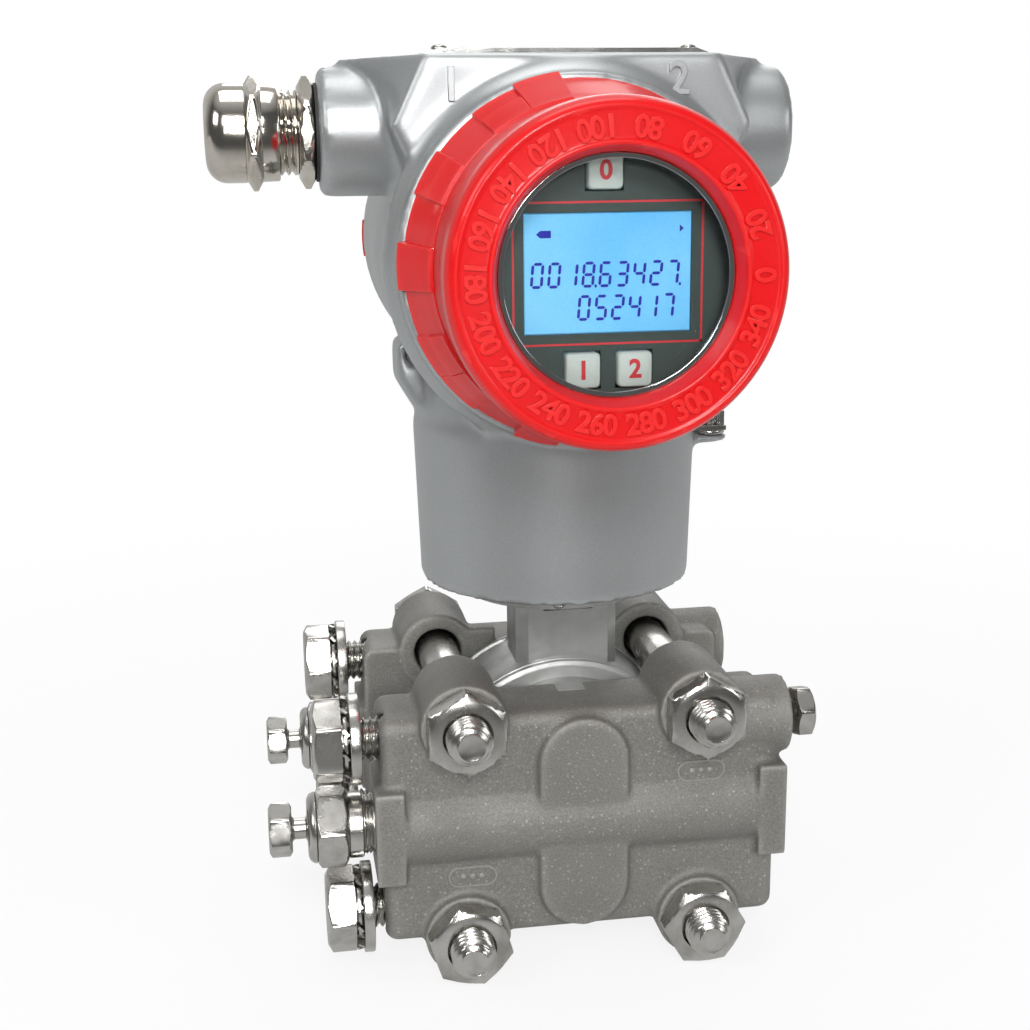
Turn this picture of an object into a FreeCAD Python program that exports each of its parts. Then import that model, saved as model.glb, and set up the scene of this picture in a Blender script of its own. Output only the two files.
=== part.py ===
"""Differential pressure transmitter: two cast flanges clamp a sensor cell, and a swivelling
die-cast housing on its neck carries the display, the terminals and the cable gland.

Every sub-part is drawn about the swivel axis: X to the right, Y to the back, Z up, with zero
at the middle of the flanges. One shift then puts the origin at the middle of the base.
"""
import FreeCAD, Part
import math
import os
import re

import Sketcher

Vector = FreeCAD.Vector
Rotation = FreeCAD.Rotation

UPWARD = Rotation()
TO_FRONT = Rotation(Vector(1, 0, 0), 90)
TO_REAR = Rotation(Vector(1, 0, 0), -90)
TO_LEFT = Rotation(Vector(0, 1, 0), -90)
TO_RIGHT = Rotation(Vector(0, 1, 0), 90)
ALONG = {"X": TO_RIGHT, "Y": TO_REAR, "Z": UPWARD}

# Driving dimensions in millimetres, degrees for angles.
SIZES = {
    # process flanges
    "flange_gap": 30.0,
    "flange_half_length": 45.8,
    "flange_half_height": 26.8,
    "flange_depth": 20.0,
    "flange_face_step": 1.0,
    "flange_edge_round": 3.0,
    "cast_round": 0.8,
    "stud_pitch_x": 54.1,
    "stud_pitch_z": 50.7,
    "stud_radius": 5.0,
    "stud_hole_radius": 5.9,
    "stud_reach": 6.4,
    "stud_chamfer": 0.9,
    "lug_radius": 9.75,
    "lug_rise": 2.3,
    "nut_flats": 17.0,
    "nut_height": 5.6,
    "low_left_nut_turn": 47.0,
    "low_right_nut_turn": 0.0,
    "upper_nut_turn": 30.0,
    "crown_share": 0.485,
    "thread_clearance": 0.1,
    "pad_half_width": 10.3,
    "pad_half_height": 25.3,
    "pad_rise": 2.0,
    "port_offset": 27.0,
    "port_radius": 5.7,
    "port_depth": 15.0,
    "rib_radius": 11.0,
    "rib_half_length": 40.1,
    "end_pad_length": 6.6,
    "end_pad_rise": 1.5,
    "end_pad_half_height": 11.0,
    "passage_radius": 2.5,
    "chamber_radius": 21.0,
    "chamber_depth": 2.5,
    "arm_top": 31.0,
    "arm_inner": 12.3,
    "arm_thickness": 5.0,
    # mounting bolts in the left end
    "side_bolt_rise": 20.65,
    "side_bolt_radius": 5.0,
    "side_bolt_depth": 11.0,
    "side_bolt_flats": 17.0,
    "side_bolt_head": 6.4,
    "flat_washer_radius": 10.3,
    "flat_washer_thickness": 2.4,
    "tooth_washer_radius": 9.2,
    "tooth_washer_rim": 7.4,
    "tooth_washer_thickness": 1.0,
    "tooth_washer_stack": 1.8,
    "tooth_width": 2.2,
    "tooth_thickness": 0.8,
    "tooth_lean": 27.0,
    "bolt_twist": 17.0,
    "bolt_twist_step": 12.0,
    "washer_clearance": 0.3,
    "upper_bolt_gap": 3.9,
    "lower_bolt_gap": 2.3,
    "bolt_end_gap": 0.5,
    # vent valves
    "vent_thread_radius": 6.85,
    "vent_thread_length": 2.4,
    "vent_collar_radius": 7.5,
    "vent_collar_length": 3.4,
    "vent_flats": 16.5,
    "vent_hex_length": 7.2,
    "vent_dome_length": 1.9,
    "vent_dome_radius": 5.9,
    "vent_turn": 20.0,
    "vent_screw_turn": 15.0,
    "vent_stub_length": 10.0,
    "vent_seat": 1.0,
    "vent_drain_radius": 1.2,
    "vent_screw_radius": 3.1,
    "vent_screw_clearance": 0.05,
    "vent_screw_flats": 10.8,
    "vent_screw_head": 5.2,
    "vent_screw_neck": 3.4,
    "vent_boss_radius": 9.0,
    "vent_boss_start": 32.0,
    "vent_boss_end": 49.0,
    "vent_boss_rise": 19.8,
    "side_vent_neck": 1.6,
    "side_vent_depth": 11.0,
    "vent_ball_radius": 2.4,
    "vent_ball_gap": 0.1,
    # sensor cell and swivel neck
    "cell_radius": 31.0,
    "cell_half_width": 13.5,
    "cell_face_radius": 26.0,
    "gasket_radius": 25.0,
    "gasket_thickness": 0.8,
    "diaphragm_thickness": 0.2,
    "neck_half_width": 16.0,
    "neck_half_depth": 14.0,
    "neck_chamfer": 5.2,
    "neck_top": 46.4,
    "notch_width": 10.0,
    "notch_height": 6.6,
    "notch_shift": 3.0,
    "notch_depth": 2.5,
    "collar_radius": 22.0,
    "swivel_seat": 50.4,
    "spigot_radius": 20.0,
    "spigot_top": 76.0,
    "swivel_clearance": 0.05,
    "wire_hole_radius": 6.0,
    "set_screw_radius": 2.0,
    "set_screw_length": 4.0,
    "set_screw_proud": 0.4,
    # housing casting
    "drum_height": 125.6,
    "drum_radius": 38.6,
    "drum_front": 34.0,
    "drum_rear": 72.5,
    "thread_bore_radius": 34.0,
    "front_chamber_depth": 14.5,
    "bulkhead": 4.0,
    "housing_neck_bottom": 31.9,
    "housing_neck_top": 33.1,
    "housing_neck_upper": 32.4,
    "housing_neck_step": 88.0,
    "face_front": 27.0,
    "face_rise": 1.6,
    "face_half_top": 30.8,
    "face_half_wide": 38.7,
    "face_wide_height": 153.7,
    "face_half_low": 31.0,
    "face_low_height": 138.0,
    "face_ring_radius": 41.5,
    "face_ring_length": 3.0,
    "face_ring_back": 8.0,
    "web_half_top": 48.5,
    "web_half_wide": 37.5,
    "web_half_low": 34.0,
    "conduit_height": 27.2,
    "conduit_radius": 13.9,
    "conduit_reach": 52.5,
    "conduit_chamfer": 1.4,
    "conduit_bore_radius": 9.25,
    "lock_boss_outer": 37.2,
    "lock_boss_inner": 26.0,
    "lock_boss_front": 10.0,
    "lock_boss_rear": -6.0,
    "lock_boss_bottom": 91.0,
    "lock_boss_top": 107.0,
    "lock_boss_slope": 7.0,
    "lock_boss_foot": 4.2,
    # threaded covers
    "cover_clearance": 0.08,
    "skirt_length": 11.0,
    "skirt_bore_radius": 30.5,
    "grip_radius": 37.4,
    "grip_front_radius": 33.0,
    "grip_length": 12.0,
    "lug_height": 1.5,
    "lug_front_drop": 0.9,
    "grip_step_drop": 0.9,
    "grip_pitch": 15.0,
    "band_radius": 32.7,
    "rim_radius": 33.3,
    "rim_start": 28.0,
    "front_cover_depth": 36.7,
    "front_edge_radius": 31.6,
    "front_round_length": 4.0,
    "window_face_radius": 24.7,
    "window_radius": 23.0,
    "window_ledge": 33.0,
    "glass_radius": 26.5,
    "glass_thickness": 4.5,
    "glass_front": 32.0,
    "glass_clearance": 0.1,
    "cover_cavity_radius": 29.0,
    "retainer_bore_radius": 25.6,
    "retainer_thickness": 2.0,
    "window_ring_width": 1.1,
    "window_ring_thickness": 0.7,
    "ring_groove_radius": 32.1,
    "ring_groove_near": 0.4,
    "ring_groove_width": 2.0,
    "cover_ring_radius": 0.75,
    "cover_ring_circle": 33.0,
    "rear_cover_depth": 15.5,
    "rear_cover_wall": 4.0,
    "rear_grip_length": 12.5,
    "rear_edge_bevel": 1.2,
    # display stack, measured forward from the swivel axis
    "can_radius": 27.5,
    "can_front": 48.0,
    "board_radius": 25.0,
    "board_thickness": 1.6,
    "board_back": 51.0,
    "board_screw_radius": 1.8,
    "board_screw_head": 1.4,
    "standoff_radius": 2.2,
    "standoff_circle": 21.0,
    "panel_radius": 25.2,
    "panel_front": 58.6,
    "panel_thickness": 1.0,
    "panel_wall": 0.6,
    "lcd_half_width": 16.4,
    "lcd_half_height": 11.4,
    "lcd_border": 1.6,
    "lcd_recess": 0.4,
    "lcd_clearance": 0.2,
    "button_half": 3.5,
    "button_clearance": 0.25,
    "button_rise": 1.3,
    "button_travel": 0.6,
    "button_lip": 0.4,
    "button_lip_thickness": 1.2,
    "button_rest_gap": 0.3,
    "button_stem_radius": 1.4,
    "top_button_x": -0.8,
    "top_button_z": 19.4,
    "low_button_x": 5.2,
    "low_button_z": 18.7,
    # terminal compartment
    "terminal_half_width": 23.0,
    "terminal_bottom": 22.0,
    "terminal_top": 8.0,
    "terminal_rear": 40.0,
    "terminal_pitch": 14.0,
    "terminal_screw_radius": 3.4,
    "terminal_screw_head": 2.6,
    "terminal_wall": 1.6,
    "terminal_wall_rise": 4.0,
    # cable gland and blanking plug
    "gland_thread_radius": 9.15,
    "gland_stub_length": 12.0,
    "gland_flats": 21.2,
    "gland_hex_length": 3.7,
    "gland_spigot_radius": 9.2,
    "gland_spigot_end": 15.5,
    "gland_bore_radius": 6.2,
    "gland_nut_start": 7.9,
    "gland_nut_end": 23.8,
    "gland_nut_radius": 10.65,
    "gland_nut_round": 4.5,
    "gland_ring_start": 11.5,
    "gland_ring_length": 3.6,
    "gland_ring_flats": 20.6,
    "gland_mouth_radius": 5.6,
    "gland_lip": 3.0,
    "cable_radius": 4.0,
    "insert_gap": 0.3,
    "seal_thickness": 0.6,
    "seal_radius": 10.6,
    "plug_recess": 0.6,
    "plug_nub_radius": 2.6,
    "plug_nub": 1.4,
    # name plate, without any lettering, and small fasteners
    "plate_half_length": 31.0,
    "plate_half_depth": 21.0,
    "plate_thickness": 1.2,
    "plate_end_slope": 3.5,
    "plate_screw_x": 27.0,
    "plate_screw_y": 16.0,
    "plate_screw_radius": 1.7,
    "plate_screw_head": 0.7,
    "plate_screw_shank": 1.2,
    "plate_screw_depth": 3.0,
    "plate_screw_gap": 0.5,
    "ground_x": 37.4,
    "ground_y": -2.0,
    "ground_seat": 82.4,
    "ground_lug_radius": 4.4,
    "ground_lug_thickness": 2.2,
    "ground_screw_radius": 1.5,
    "ground_head_radius": 2.9,
    "ground_head": 2.0,
    "ground_washer_radius": 3.8,
    "ground_washer": 0.9,
    "ground_clamp_thickness": 1.2,
    "ground_clamp_half": 3.4,
    "ground_tab_rise": 4.4,
    "cover_lock_x": 33.2,
    "cover_lock_z": 104.3,
    "cover_lock_radius": 1.9,
    "cover_lock_length": 8.0,
    "cover_lock_proud": 1.0,
}

document = FreeCAD.newDocument("PressureTransmitter")
sheet = document.addObject("Spreadsheet::Sheet", "Sizes")
for row, (alias, value) in enumerate(SIZES.items(), start=1):
    sheet.set(f"A{row}", alias)
    sheet.set(f"B{row}", str(value))
    sheet.setAlias(f"B{row}", alias)
document.recompute()


def size(alias):
    """The sheet's number behind a name."""
    return float(sheet.get(alias))


def tie(formula):
    """A formula of plain names as an expression that refers to the sheet."""
    return re.sub(r"[a-z_]\w*", lambda word: "Sizes." * (word[0] in SIZES) + word[0], str(formula))


# Overall extents, and the shift that carries the drawing to the part's own origin.
HALF_GAP = "flange_gap / 2"
OUTER_FACE = "(flange_gap / 2 + flange_depth)"
NUT_SEAT = "(flange_gap / 2 + flange_depth + lug_rise)"
LEFT_END = "-(conduit_reach + seal_thickness + gland_nut_end)"
RIGHT_END = "(vent_boss_end + side_vent_neck + vent_screw_head)"
CONDUIT_AXIS = "(drum_height + conduit_height)"
FACE_TOP = f"({CONDUIT_AXIS} + conduit_radius + face_rise)"
ORIGIN = (
    f"(({LEFT_END}) + {RIGHT_END}) / 2",
    "(drum_rear + rear_cover_depth - drum_front - front_cover_depth) / 2",
    "-(stud_pitch_z / 2 + lug_radius)",
)


def bind(feature, **sizes):
    """Ties properties of a feature to formulas of sheet names."""
    for name, formula in sizes.items():
        feature.setExpression(name, tie(formula))
    return feature


def put(feature, at, turn=UPWARD):
    """Turns a feature and ties its base point to three formulas."""
    feature.Placement = FreeCAD.Placement(Vector(), turn)
    for axis, formula in zip("xyz", at):
        feature.setExpression(f"Placement.Base.{axis}", tie(formula))
    return feature


def start(name):
    """An empty body that will be one sub-part, or the pattern piece of a group."""
    body = document.addObject("PartDesign::Body", name)
    body.Label = name
    return body


def stand(piece, at=("0", "0", "0"), turn=UPWARD):
    """Puts a finished sub-part in the part's own frame."""
    shifted = [f"({place}) - ({origin})" for place, origin in zip(at, ORIGIN)]
    return put(piece, shifted, turn)


def kind(shape, cut):
    return ("PartDesign::Subtractive" if cut else "PartDesign::Additive") + shape


def block(body, x, y, z, cut=False):
    """A box between pairs of formulas along each axis."""
    box = body.newObject(kind("Box", cut), "block")
    put(box, (x[0], y[0], z[0]))
    return bind(
        box,
        Length=f"({x[1]}) - ({x[0]})",
        Width=f"({y[1]}) - ({y[0]})",
        Height=f"({z[1]}) - ({z[0]})",
    )


def across(along, low, centre):
    """The base point of something that runs along an axis from low, about a centre line."""
    one, other = centre
    return {"X": (low, one, other), "Y": (one, low, other), "Z": (one, other, low)}[along]


def rod(body, radius, along, span, centre=("0", "0"), cut=False):
    """A cylinder along an axis, over a span, about a centre line."""
    cylinder = body.newObject(kind("Cylinder", cut), "rod")
    put(cylinder, across(along, span[0], centre), ALONG[along])
    return bind(cylinder, Radius=radius, Height=f"({span[1]}) - ({span[0]})")


def taper(body, radii, along, span, centre=("0", "0"), cut=False):
    """A truncated cone along an axis."""
    cone = body.newObject(kind("Cone", cut), "taper")
    put(cone, across(along, span[0], centre), ALONG[along])
    return bind(cone, Radius1=radii[0], Radius2=radii[1], Height=f"({span[1]}) - ({span[0]})")


def hexagon(body, flats, span, corner=0.0, cut=False):
    """A hexagonal prism along Z, with one corner at an angle from X."""
    prism = body.newObject(kind("Prism", cut), "hexagon")
    prism.Polygon = 6
    put(prism, ("0", "0", span[0]), Rotation(Vector(0, 0, 1), corner))
    return bind(prism, Circumradius=f"({flats}) / sqrt(3)", Height=f"({span[1]}) - ({span[0]})")


def outline(body, plane, points, lift="0", swing=0.0):
    """A closed sketch of straight edges whose corners are tied to formulas."""
    sketch = body.newObject("Sketcher::SketchObject", "outline")
    base = [item for item in body.Origin.OriginFeatures if item.Role == plane][0]
    sketch.AttachmentSupport = [(base, "")]
    sketch.MapMode = "FlatFace"
    sketch.AttachmentOffset = FreeCAD.Placement(Vector(), Rotation(Vector(0, 1, 0), swing))
    sketch.setExpression("AttachmentOffset.Base.z", tie(lift))
    count = len(points)
    ring = [Vector(math.cos(2 * math.pi * k / count), math.sin(2 * math.pi * k / count), 0)
            for k in range(count + 1)]
    for corner in range(count):
        sketch.addGeometry(Part.LineSegment(ring[corner], ring[corner + 1]), False)
    for corner in range(count):
        following = (corner + 1) % count
        sketch.addConstraint(Sketcher.Constraint("Coincident", corner, 2, following, 1))
    for corner, point in enumerate(points):
        for direction, formula in zip(("DistanceX", "DistanceY"), point):
            tied = sketch.addConstraint(Sketcher.Constraint(direction, -1, 1, corner, 1, 1.0))
            sketch.setExpression(f"Constraints[{tied}]", tie(formula))
    return sketch


def turned(body, points, swing=0.0, sweep=360.0, cut=False):
    """A profile of (radius, height) corners turned about Z."""
    sketch = outline(body, "XZ_Plane", points, swing=swing)
    feature = "PartDesign::Groove" if cut else "PartDesign::Revolution"
    turn = body.newObject(feature, "turned")
    turn.Profile = sketch
    turn.ReferenceAxis = (sketch, ["V_Axis"])
    turn.Angle = sweep
    return turn


def padded(body, points, span, plane="XY_Plane"):
    """An outline padded over a span along its plane's normal."""
    sketch = outline(body, plane, points, lift=span[0])
    pad = body.newObject("PartDesign::Pad", "padded")
    pad.Profile = sketch
    return bind(pad, Length=f"({span[1]}) - ({span[0]})")


def rounded(body, base, radius, chosen, chamfer=False):
    """Rounds or chamfers the edges of the latest feature that a test picks."""
    document.recompute()
    edges = [f"Edge{index}" for index, edge in enumerate(base.Shape.Edges, start=1) if chosen(edge)]
    feature = body.newObject("PartDesign::Chamfer" if chamfer else "PartDesign::Fillet", "edge")
    feature.Base = (base, edges)
    return bind(feature, **{"Size" if chamfer else "Radius": radius})


def near(value, target):
    return abs(value - target) < 0.01


def circle_at(radius, height):
    """Picks full circles of a radius at a height along Z."""
    def chosen(edge):
        round_edge = isinstance(edge.Curve, Part.Circle)
        return round_edge and near(edge.Curve.Radius, radius) and near(edge.Curve.Center.z, height)
    return chosen


def group(name, piece, places):
    """Copies of one piece as a single sub-part; each place is a base point and a turn."""
    links = []
    for number, (at, turn) in enumerate(places, start=1):
        link = document.addObject("App::Link", f"{name}_{number}")
        link.LinkedObject = piece
        stand(link, at, turn)
        links.append(link)
    compound = document.addObject("Part::Compound", name)
    compound.Label = name
    compound.Links = links
    return compound


CORNERS = [(across_x, up) for across_x in (-1, 1) for up in (-1, 1)]


def process_flange(name, hand, turn, arm_side):
    """Cast flange, drawn lying down: X along it, Y up it and Z from the middle outwards.
    hand mirrors its ends, and arm_side is the long edge with the two arms."""
    body = start(name)
    inner = f"({HALF_GAP} + flange_face_step)"
    cast = block(
        body,
        ("-flange_half_length", "flange_half_length"),
        ("-flange_half_height", "flange_half_height"),
        (inner, OUTER_FACE),
    )
    outer = size("flange_gap") / 2 + size("flange_depth")
    cast = rounded(body, cast, "flange_edge_round",
                   lambda edge: near(edge.CenterOfMass.z, outer)
                   or near(abs(edge.CenterOfMass.x) + abs(edge.CenterOfMass.y),
                           size("flange_half_length") + size("flange_half_height")))

    # racetrack pad, half-round rib over the port line, raised ends and the vent boss
    flat = "(pad_half_height - pad_half_width)"
    pad_span = (HALF_GAP + " + flange_depth / 2", OUTER_FACE + " + pad_rise")
    block(body, ("-pad_half_width", "pad_half_width"), ("-" + flat, flat), pad_span)
    for end in ("-" + flat, flat):
        last = rod(body, "pad_half_width", "Z", pad_span, ("0", end))
    pad_top = outer + size("pad_rise")
    rounded(body, last, "cast_round", lambda edge: near(edge.CenterOfMass.z, pad_top)
            and near(edge.BoundBox.ZLength, 0))
    rod(body, "rib_radius", "X", ("-rib_half_length", "rib_half_length"), ("0", "port_offset"))
    reach = "flange_half_length + end_pad_rise"
    for low, high in ((f"-({reach})", f"-({reach}) + end_pad_length"),
                      (f"({reach}) - end_pad_length", reach)):
        block(body, (low, high), ("-end_pad_half_height", "end_pad_half_height"),
              (f"{inner} + 1", "port_offset + rib_radius"))
    boss = ("vent_boss_start", "vent_boss_end") if hand > 0 else ("-vent_boss_end", "-vent_boss_start")
    rod(body, "vent_boss_radius", "X", boss, ("vent_boss_rise", "port_offset"))

    # lugs for the studs, and the arms that reach in towards the cell
    for side, up in CORNERS:
        rod(body, "lug_radius", "Z", (HALF_GAP, NUT_SEAT),
            (f"{side} * stud_pitch_x / 2", f"{up} * stud_pitch_z / 2"))
    for side in (-1, 1):
        span = [f"{side} * arm_inner", f"{side} * stud_pitch_x / 2"]
        rise = [f"{arm_side} * flange_half_height / 2", f"{arm_side} * arm_top"]
        block(body, span[::side], rise[::arm_side], (HALF_GAP, f"{HALF_GAP} + arm_thickness"))

    # stud holes, seat of the cell, pressure chamber and its passages
    for side, up in CORNERS:
        rod(body, "stud_hole_radius", "Z", (HALF_GAP + " - 1", NUT_SEAT + " + 1"),
            (f"{side} * stud_pitch_x / 2", f"{up} * stud_pitch_z / 2"), cut=True)
    rod(body, "cell_face_radius + swivel_clearance * 6", "Z", (HALF_GAP + " - 1", inner), cut=True)
    rod(body, "chamber_radius", "Z", (HALF_GAP, f"{inner} + chamber_depth"), cut=True)
    rod(body, "passage_radius", "Z", (inner, "port_offset"), cut=True)
    rod(body, "passage_radius", "X", ("-flange_half_length", "flange_half_length"),
        ("0", "port_offset"), cut=True)
    for low, high in ((f"-({reach})", f"-({reach}) + port_depth"),
                      (f"({reach}) - port_depth", reach)):
        rod(body, "port_radius", "X", (low, high), ("0", "port_offset"), cut=True)

    # tapped holes in the left end, and the vent hole in the right end
    left = -hand
    for up in (-1, 1):
        tapped = [f"{left} * (flange_half_length - side_bolt_depth)", f"{left} * flange_half_length"]
        rod(body, "side_bolt_radius + thread_clearance", "X", tapped[::left],
            (f"{up} * side_bolt_rise", "port_offset"), cut=True)
    if hand > 0:
        bore = "vent_screw_radius + vent_screw_clearance"
        rod(body, bore, "X", ("vent_boss_end - side_vent_depth", "vent_boss_end"),
            ("vent_boss_rise", "port_offset"), cut=True)
    return stand(body, turn=turn)


def crowned(body, flats, height):
    """Bevels the corners of a hexagon's outer end, as on turned bar."""
    corner = f"({flats})"
    flat = f"({flats}) * crown_share"
    turned(body, [(flat, height), (corner, height), (corner, f"{height} - ({corner} - {flat}) / 2")],
           cut=True)


# ---- flanges, studs and nuts --------------------------------------------------------------

process_flange("front_flange", 1, TO_FRONT, -1)
process_flange("rear_flange", -1, TO_REAR * Rotation(Vector(0, 0, 1), 180), 1)

stud_end = f"({NUT_SEAT} + nut_height + stud_reach)"
stud = start("stud")
turned(stud, [
    ("0", f"-{stud_end}"),
    ("stud_radius - stud_chamfer", f"-{stud_end}"),
    ("stud_radius", f"-{stud_end} + stud_chamfer"),
    ("stud_radius", f"{stud_end} - stud_chamfer"),
    ("stud_radius - stud_chamfer", stud_end),
    ("0", stud_end),
])
group("flange_studs", stud, [
    ((f"{side} * stud_pitch_x / 2", "0", f"{up} * stud_pitch_z / 2"), TO_REAR)
    for side, up in CORNERS
])

nut = start("nut")
hexagon(nut, "nut_flats", ("0", "nut_height"))
rod(nut, "stud_radius + thread_clearance", "Z", ("-1", "nut_height + 1"), cut=True)
crowned(nut, "nut_flats", "nut_height")
NUT_TURNS = {(-1, -1): "low_left_nut_turn", (-1, 1): "upper_nut_turn",
             (1, -1): "low_right_nut_turn", (1, 1): "upper_nut_turn"}
for name, facing, toward in (("front_nuts", TO_FRONT, -1), ("rear_nuts", TO_REAR, 1)):
    group(name, nut, [
        ((f"{side} * stud_pitch_x / 2", f"{toward} * {NUT_SEAT}", f"{up} * stud_pitch_z / 2"),
         facing * Rotation(Vector(0, 0, 1), size(NUT_TURNS[side, up])))
        for side, up in CORNERS
    ])

# ---- mounting bolts, shipped loose in the left end ----------------------------------------

stack = "(tooth_washer_stack + flat_washer_thickness)"
bolt = start("side_bolt")
hexagon(bolt, "side_bolt_flats", ("0", "side_bolt_head"))
crowned(bolt, "side_bolt_flats", "side_bolt_head")
shank = f"({stack} + lower_bolt_gap + side_bolt_depth - bolt_end_gap)"
rod(bolt, "side_bolt_radius", "Z", (f"-{shank}", "0"))

tooth_washer = start("tooth_washer")
rod(tooth_washer, "tooth_washer_rim", "Z", ("-tooth_washer_thickness / 2", "tooth_washer_thickness / 2"))
TEETH = 12
for tooth in range(TEETH):
    spoke = tooth_washer.newObject("PartDesign::AdditiveBox", "tooth")
    lean = Rotation(Vector(0, 0, 1), 360 * tooth / TEETH) * Rotation(Vector(1, 0, 0), size("tooth_lean"))
    spoke.Placement = FreeCAD.Placement(Vector(), lean)
    bind(spoke, Length="tooth_washer_radius", Width="tooth_width", Height="tooth_thickness")
    middle = lean.multVec(Vector(0, -size("tooth_width") / 2, -size("tooth_thickness") / 2))
    spoke.Placement.Base = middle
rod(tooth_washer, "side_bolt_radius + washer_clearance", "Z", ("-2", "2"), cut=True)

flat_washer = start("flat_washer")
rod(flat_washer, "flat_washer_radius", "Z", ("0", "flat_washer_thickness"))
rod(flat_washer, "side_bolt_radius + washer_clearance", "Z",
    ("-1", "flat_washer_thickness + 1"), cut=True)

bolt_places = []
tooth_places = []
flat_places = []
for toward, up in CORNERS:
    gap = "upper_bolt_gap" if up > 0 else "lower_bolt_gap"
    line = (f"{toward} * port_offset", f"{up} * side_bolt_rise")
    twist = TO_LEFT * Rotation(Vector(0, 0, 1),
                               toward * size("bolt_twist_step") + up * size("bolt_twist"))
    flat_places.append(((f"-(flange_half_length + {gap} + flat_washer_thickness)",) + line,
                        TO_LEFT * Rotation(Vector(1, 0, 0), 180)))
    tooth_places.append(((f"-(flange_half_length + {gap} + flat_washer_thickness"
                          " + tooth_washer_stack / 2)",) + line, twist))
    bolt_places.append(((f"-(flange_half_length + {gap} + {stack})",) + line, twist))
group("side_bolts", bolt, bolt_places)
group("tooth_washers", tooth_washer, tooth_places)
group("flat_washers", flat_washer, flat_places)

# ---- vent valves: a body in each left port, and a screw with its ball in every vent --------

collar_end = "(vent_thread_length + vent_collar_length)"
hex_end = f"({collar_end} + vent_hex_length)"
vent_end = f"({hex_end} + vent_dome_length)"
vent_body = start("vent_body")
rod(vent_body, "port_radius - thread_clearance", "Z", ("-vent_stub_length", "0"))
rod(vent_body, "vent_thread_radius", "Z", ("0", "vent_thread_length"))
rod(vent_body, "vent_collar_radius", "Z", ("vent_thread_length", collar_end))
hexagon(vent_body, "vent_flats", (collar_end, hex_end), corner=30)
taper(vent_body, ("vent_flats / 2", "vent_dome_radius"), "Z", (hex_end, vent_end))
crowned(vent_body, "vent_flats", hex_end)
rod(vent_body, "vent_screw_radius + vent_screw_clearance", "Z",
    ("vent_seat", f"{vent_end} + 1"), cut=True)
rod(vent_body, "vent_drain_radius", "Z", ("-vent_stub_length", "vent_seat"), cut=True)
left_port = "-(flange_half_length + end_pad_rise)"
group("vent_bodies", vent_body, [
    ((left_port, f"{toward} * port_offset", "0"),
     TO_LEFT * Rotation(Vector(0, 0, 1), toward * size("vent_turn")))
    for toward in (-1, 1)
])


def vent_pair(name, at, turn, seat, neck_start, neck):
    """A vent screw and the steel ball under its tip, on one axis."""
    ball = start(f"vent_ball_{name}")
    sphere = ball.newObject("PartDesign::AdditiveSphere", "ball")
    put(sphere, ("0", "0", f"{seat} + vent_ball_gap + vent_ball_radius"))
    bind(sphere, Radius="vent_ball_radius")
    stand(ball, at, turn)
    screw = start(f"vent_screw_{name}")
    tip = f"{seat} + 2 * (vent_ball_gap + vent_ball_radius)"
    head = f"({neck_start} + {neck})"
    rod(screw, "vent_screw_radius", "Z", (tip, head))
    hexagon(screw, "vent_screw_flats", (head, f"{head} + vent_screw_head"), corner=30)
    crowned(screw, "vent_screw_flats", f"({head} + vent_screw_head)")
    stand(screw, at, turn * Rotation(Vector(0, 0, 1), size("vent_screw_turn")))


for name, toward in (("front", -1), ("rear", 1)):
    vent_pair(name, (left_port, f"{toward} * port_offset", "0"), TO_LEFT,
              "vent_seat", vent_end, "vent_screw_neck")
vent_pair("side", ("vent_boss_end", "-port_offset", "vent_boss_rise"), TO_RIGHT,
          "-side_vent_depth", "0", "side_vent_neck")

# ---- sensor cell with its octagonal neck and swivel spigot --------------------------------

cell_face = f"({HALF_GAP} + flange_face_step - gasket_thickness)"
cell = start("sensor_cell")
rod(cell, "cell_radius", "Y", ("-cell_half_width", "cell_half_width"))
rod(cell, "cell_face_radius", "Y", (f"-{cell_face}", cell_face))
octagon = []
for turn_x, turn_y in ((1, 1), (-1, 1), (-1, -1), (1, -1)):
    corners = [
        (f"{turn_x} * neck_half_width", f"{turn_y} * (neck_half_depth - neck_chamfer)"),
        (f"{turn_x} * (neck_half_width - neck_chamfer)", f"{turn_y} * neck_half_depth"),
    ]
    octagon += corners[::turn_x * turn_y]
padded(cell, octagon, ("cell_radius / 2", "neck_top"))
rod(cell, "collar_radius", "Z", ("neck_top", "swivel_seat"))
rod(cell, "spigot_radius", "Z", ("swivel_seat", "spigot_top"))
block(cell, ("notch_shift - notch_width / 2", "notch_shift + notch_width / 2"),
      ("-neck_half_depth - 1", "notch_depth - neck_half_depth"),
      ("neck_top - notch_height", "neck_top"), cut=True)
rod(cell, "wire_hole_radius", "Z", ("neck_top - notch_height", "spigot_top + 1"), cut=True)
set_height = "(neck_top + swivel_seat) / 2"
rod(cell, "set_screw_radius * 0.9", "Y",
    ("-collar_radius - 1", "-collar_radius - set_screw_proud + set_screw_length"),
    ("-notch_shift", set_height), cut=True)
stand(cell)

gasket = start("cell_gasket")
rod(gasket, "gasket_radius", "Z", ("0", "gasket_thickness"))
rod(gasket, "chamber_radius + thread_clearance", "Z", ("-1", "gasket_thickness + 1"), cut=True)
diaphragm = start("diaphragm")
rod(diaphragm, "chamber_radius - thread_clearance", "Z", ("0", "diaphragm_thickness"))
for name, piece in (("cell_gaskets", gasket), ("cell_diaphragms", diaphragm)):
    group(name, piece, [(("0", f"{toward} * {cell_face}", "0"), facing)
                        for toward, facing in ((-1, TO_FRONT), (1, TO_REAR))])

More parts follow.
